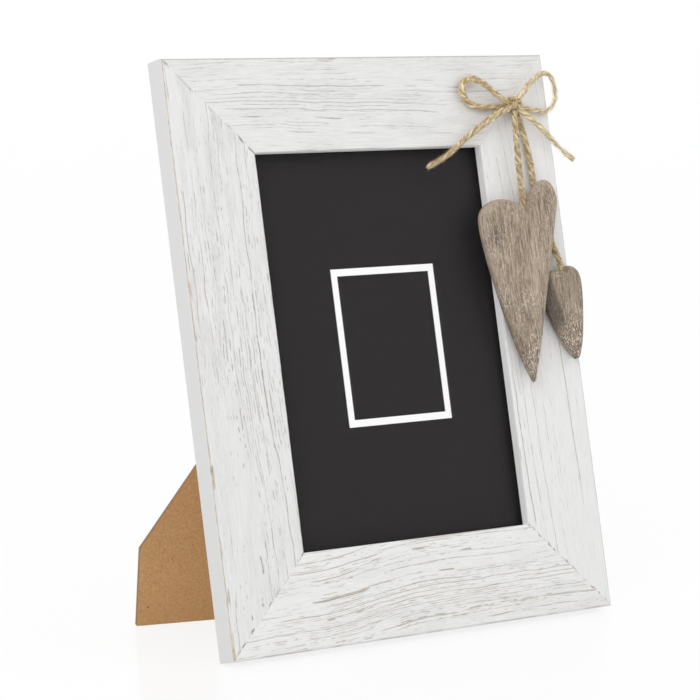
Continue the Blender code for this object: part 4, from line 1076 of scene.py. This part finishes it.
CARRIED = ((glass_finish(), ("glass_pane",)),
           (card_finish(), ("insert_card",)),
           (hardboard_finish("board_hardboard", DEPTH_AXIS), ("back_board",)),
           (hardboard_finish("leg_hardboard", widest_face("easel_leg")), ("easel_leg",)),
           (GLUE, ("bow_glue",)),
           (steel_finish("zinc_plate", ZINC_TONES),
            nodes_of("hinge_", "turn_button", "button_screw", "hanger_")),
           (steel_finish("nail_steel", NAIL_TONES), nodes_of("corner_nail")))
for finish, names in CARRIED:
    for name in names:
        mesh = frame["nodes"][name].data
        mesh.materials.clear()
        mesh.materials.append(finish)


# Floor, light and camera


def shown_rays(tree):
    """1 for rays from the camera and those that glass and metal send on."""
    path = add(tree, "LightPath")
    seen = times(path.outputs["Is Camera Ray"], path.outputs["Is Transmission Ray"], "MAXIMUM")
    return times(seen, path.outputs["Is Glossy Ray"], "MAXIMUM")


def floor():
    """White table top, pale to the camera, that keeps a faint shadow and reflection of the frame."""
    angle = circle(FLOOR_SIDES)
    radius = np.array(FLOOR_RADII)[:, None]
    level = np.full((len(radius), FLOOR_SIDES), FLOOR_LEVEL)
    points = np.stack((radius * np.cos(angle), radius * np.sin(angle), level), axis=-1)
    faces = grid_quads(len(radius), FLOOR_SIDES, closed=True)[:, ::-1]
    mesh = bpy.data.meshes.new("table_top")
    mesh.from_pydata(points.reshape(-1, 3).tolist(), [], faces.tolist())
    finish, tree, shader = new_finish("white_table", (0.96, 0.96, 0.96), 0.12)
    white = add(tree, "Emission", Color=(1, 1, 1, 1), Strength=1).outputs[0]
    share = times(shown_rays(tree), FLOOR_WHITE)
    both = add(tree, "MixShader", i0=share, i1=shader.outputs[0], i2=white)
    link(tree.nodes["Material Output"], "Surface", both.outputs[0])
    mesh.materials.append(finish)
    put("table_top", mesh)


def aim(thing, place, direction):
    """A lamp or camera put in its place and turned to look along a direction."""
    thing.location = place
    thing.rotation_euler = direction.to_track_quat("-Z", "Y").to_euler()


def studio():
    """White room light and two wide soft lamps above and in front."""
    world = bpy.data.worlds.new("white_room")
    bpy.context.scene.world = world
    world.use_nodes = True
    tree = world.node_tree
    room = tree.nodes["Background"]
    room.inputs["Color"].default_value = (1, 1, 1, 1)
    room.inputs["Strength"].default_value = ROOM_LIGHT
    white = add(tree, "Background", Color=(1, 1, 1, 1), Strength=1)
    pick = add(tree, "MixShader", i0=shown_rays(tree), i1=room.outputs[0], i2=white.outputs[0])
    link(tree.nodes["World Output"], "Surface", pick.outputs[0])
    for name, place, size, watts in LAMPS:
        lamp = bpy.data.lights.new(name, "AREA")
        lamp.size = size
        lamp.energy = watts
        aim(put(name, lamp), place, Vector(LAMP_AIM) - Vector(place))


def camera():
    """The photograph's camera, from the frame's left, a little above it."""
    lens = bpy.data.cameras.new("camera")
    lens.sensor_width = SENSOR_WIDTH
    lens.lens = FOCAL_PIXELS / PICTURE_PIXELS * SENSOR_WIDTH
    lens.clip_start = 0.05
    lens.clip_end = 50
    holder = put("camera", lens)
    aim(holder, Vector(FOOT_MIDDLE) + Vector(CAMERA_PLACE), Vector(CAMERA_AIM))
    bpy.context.scene.camera = holder


floor()
studio()
camera()
bpy.context.scene.view_settings.view_transform = "Standard"
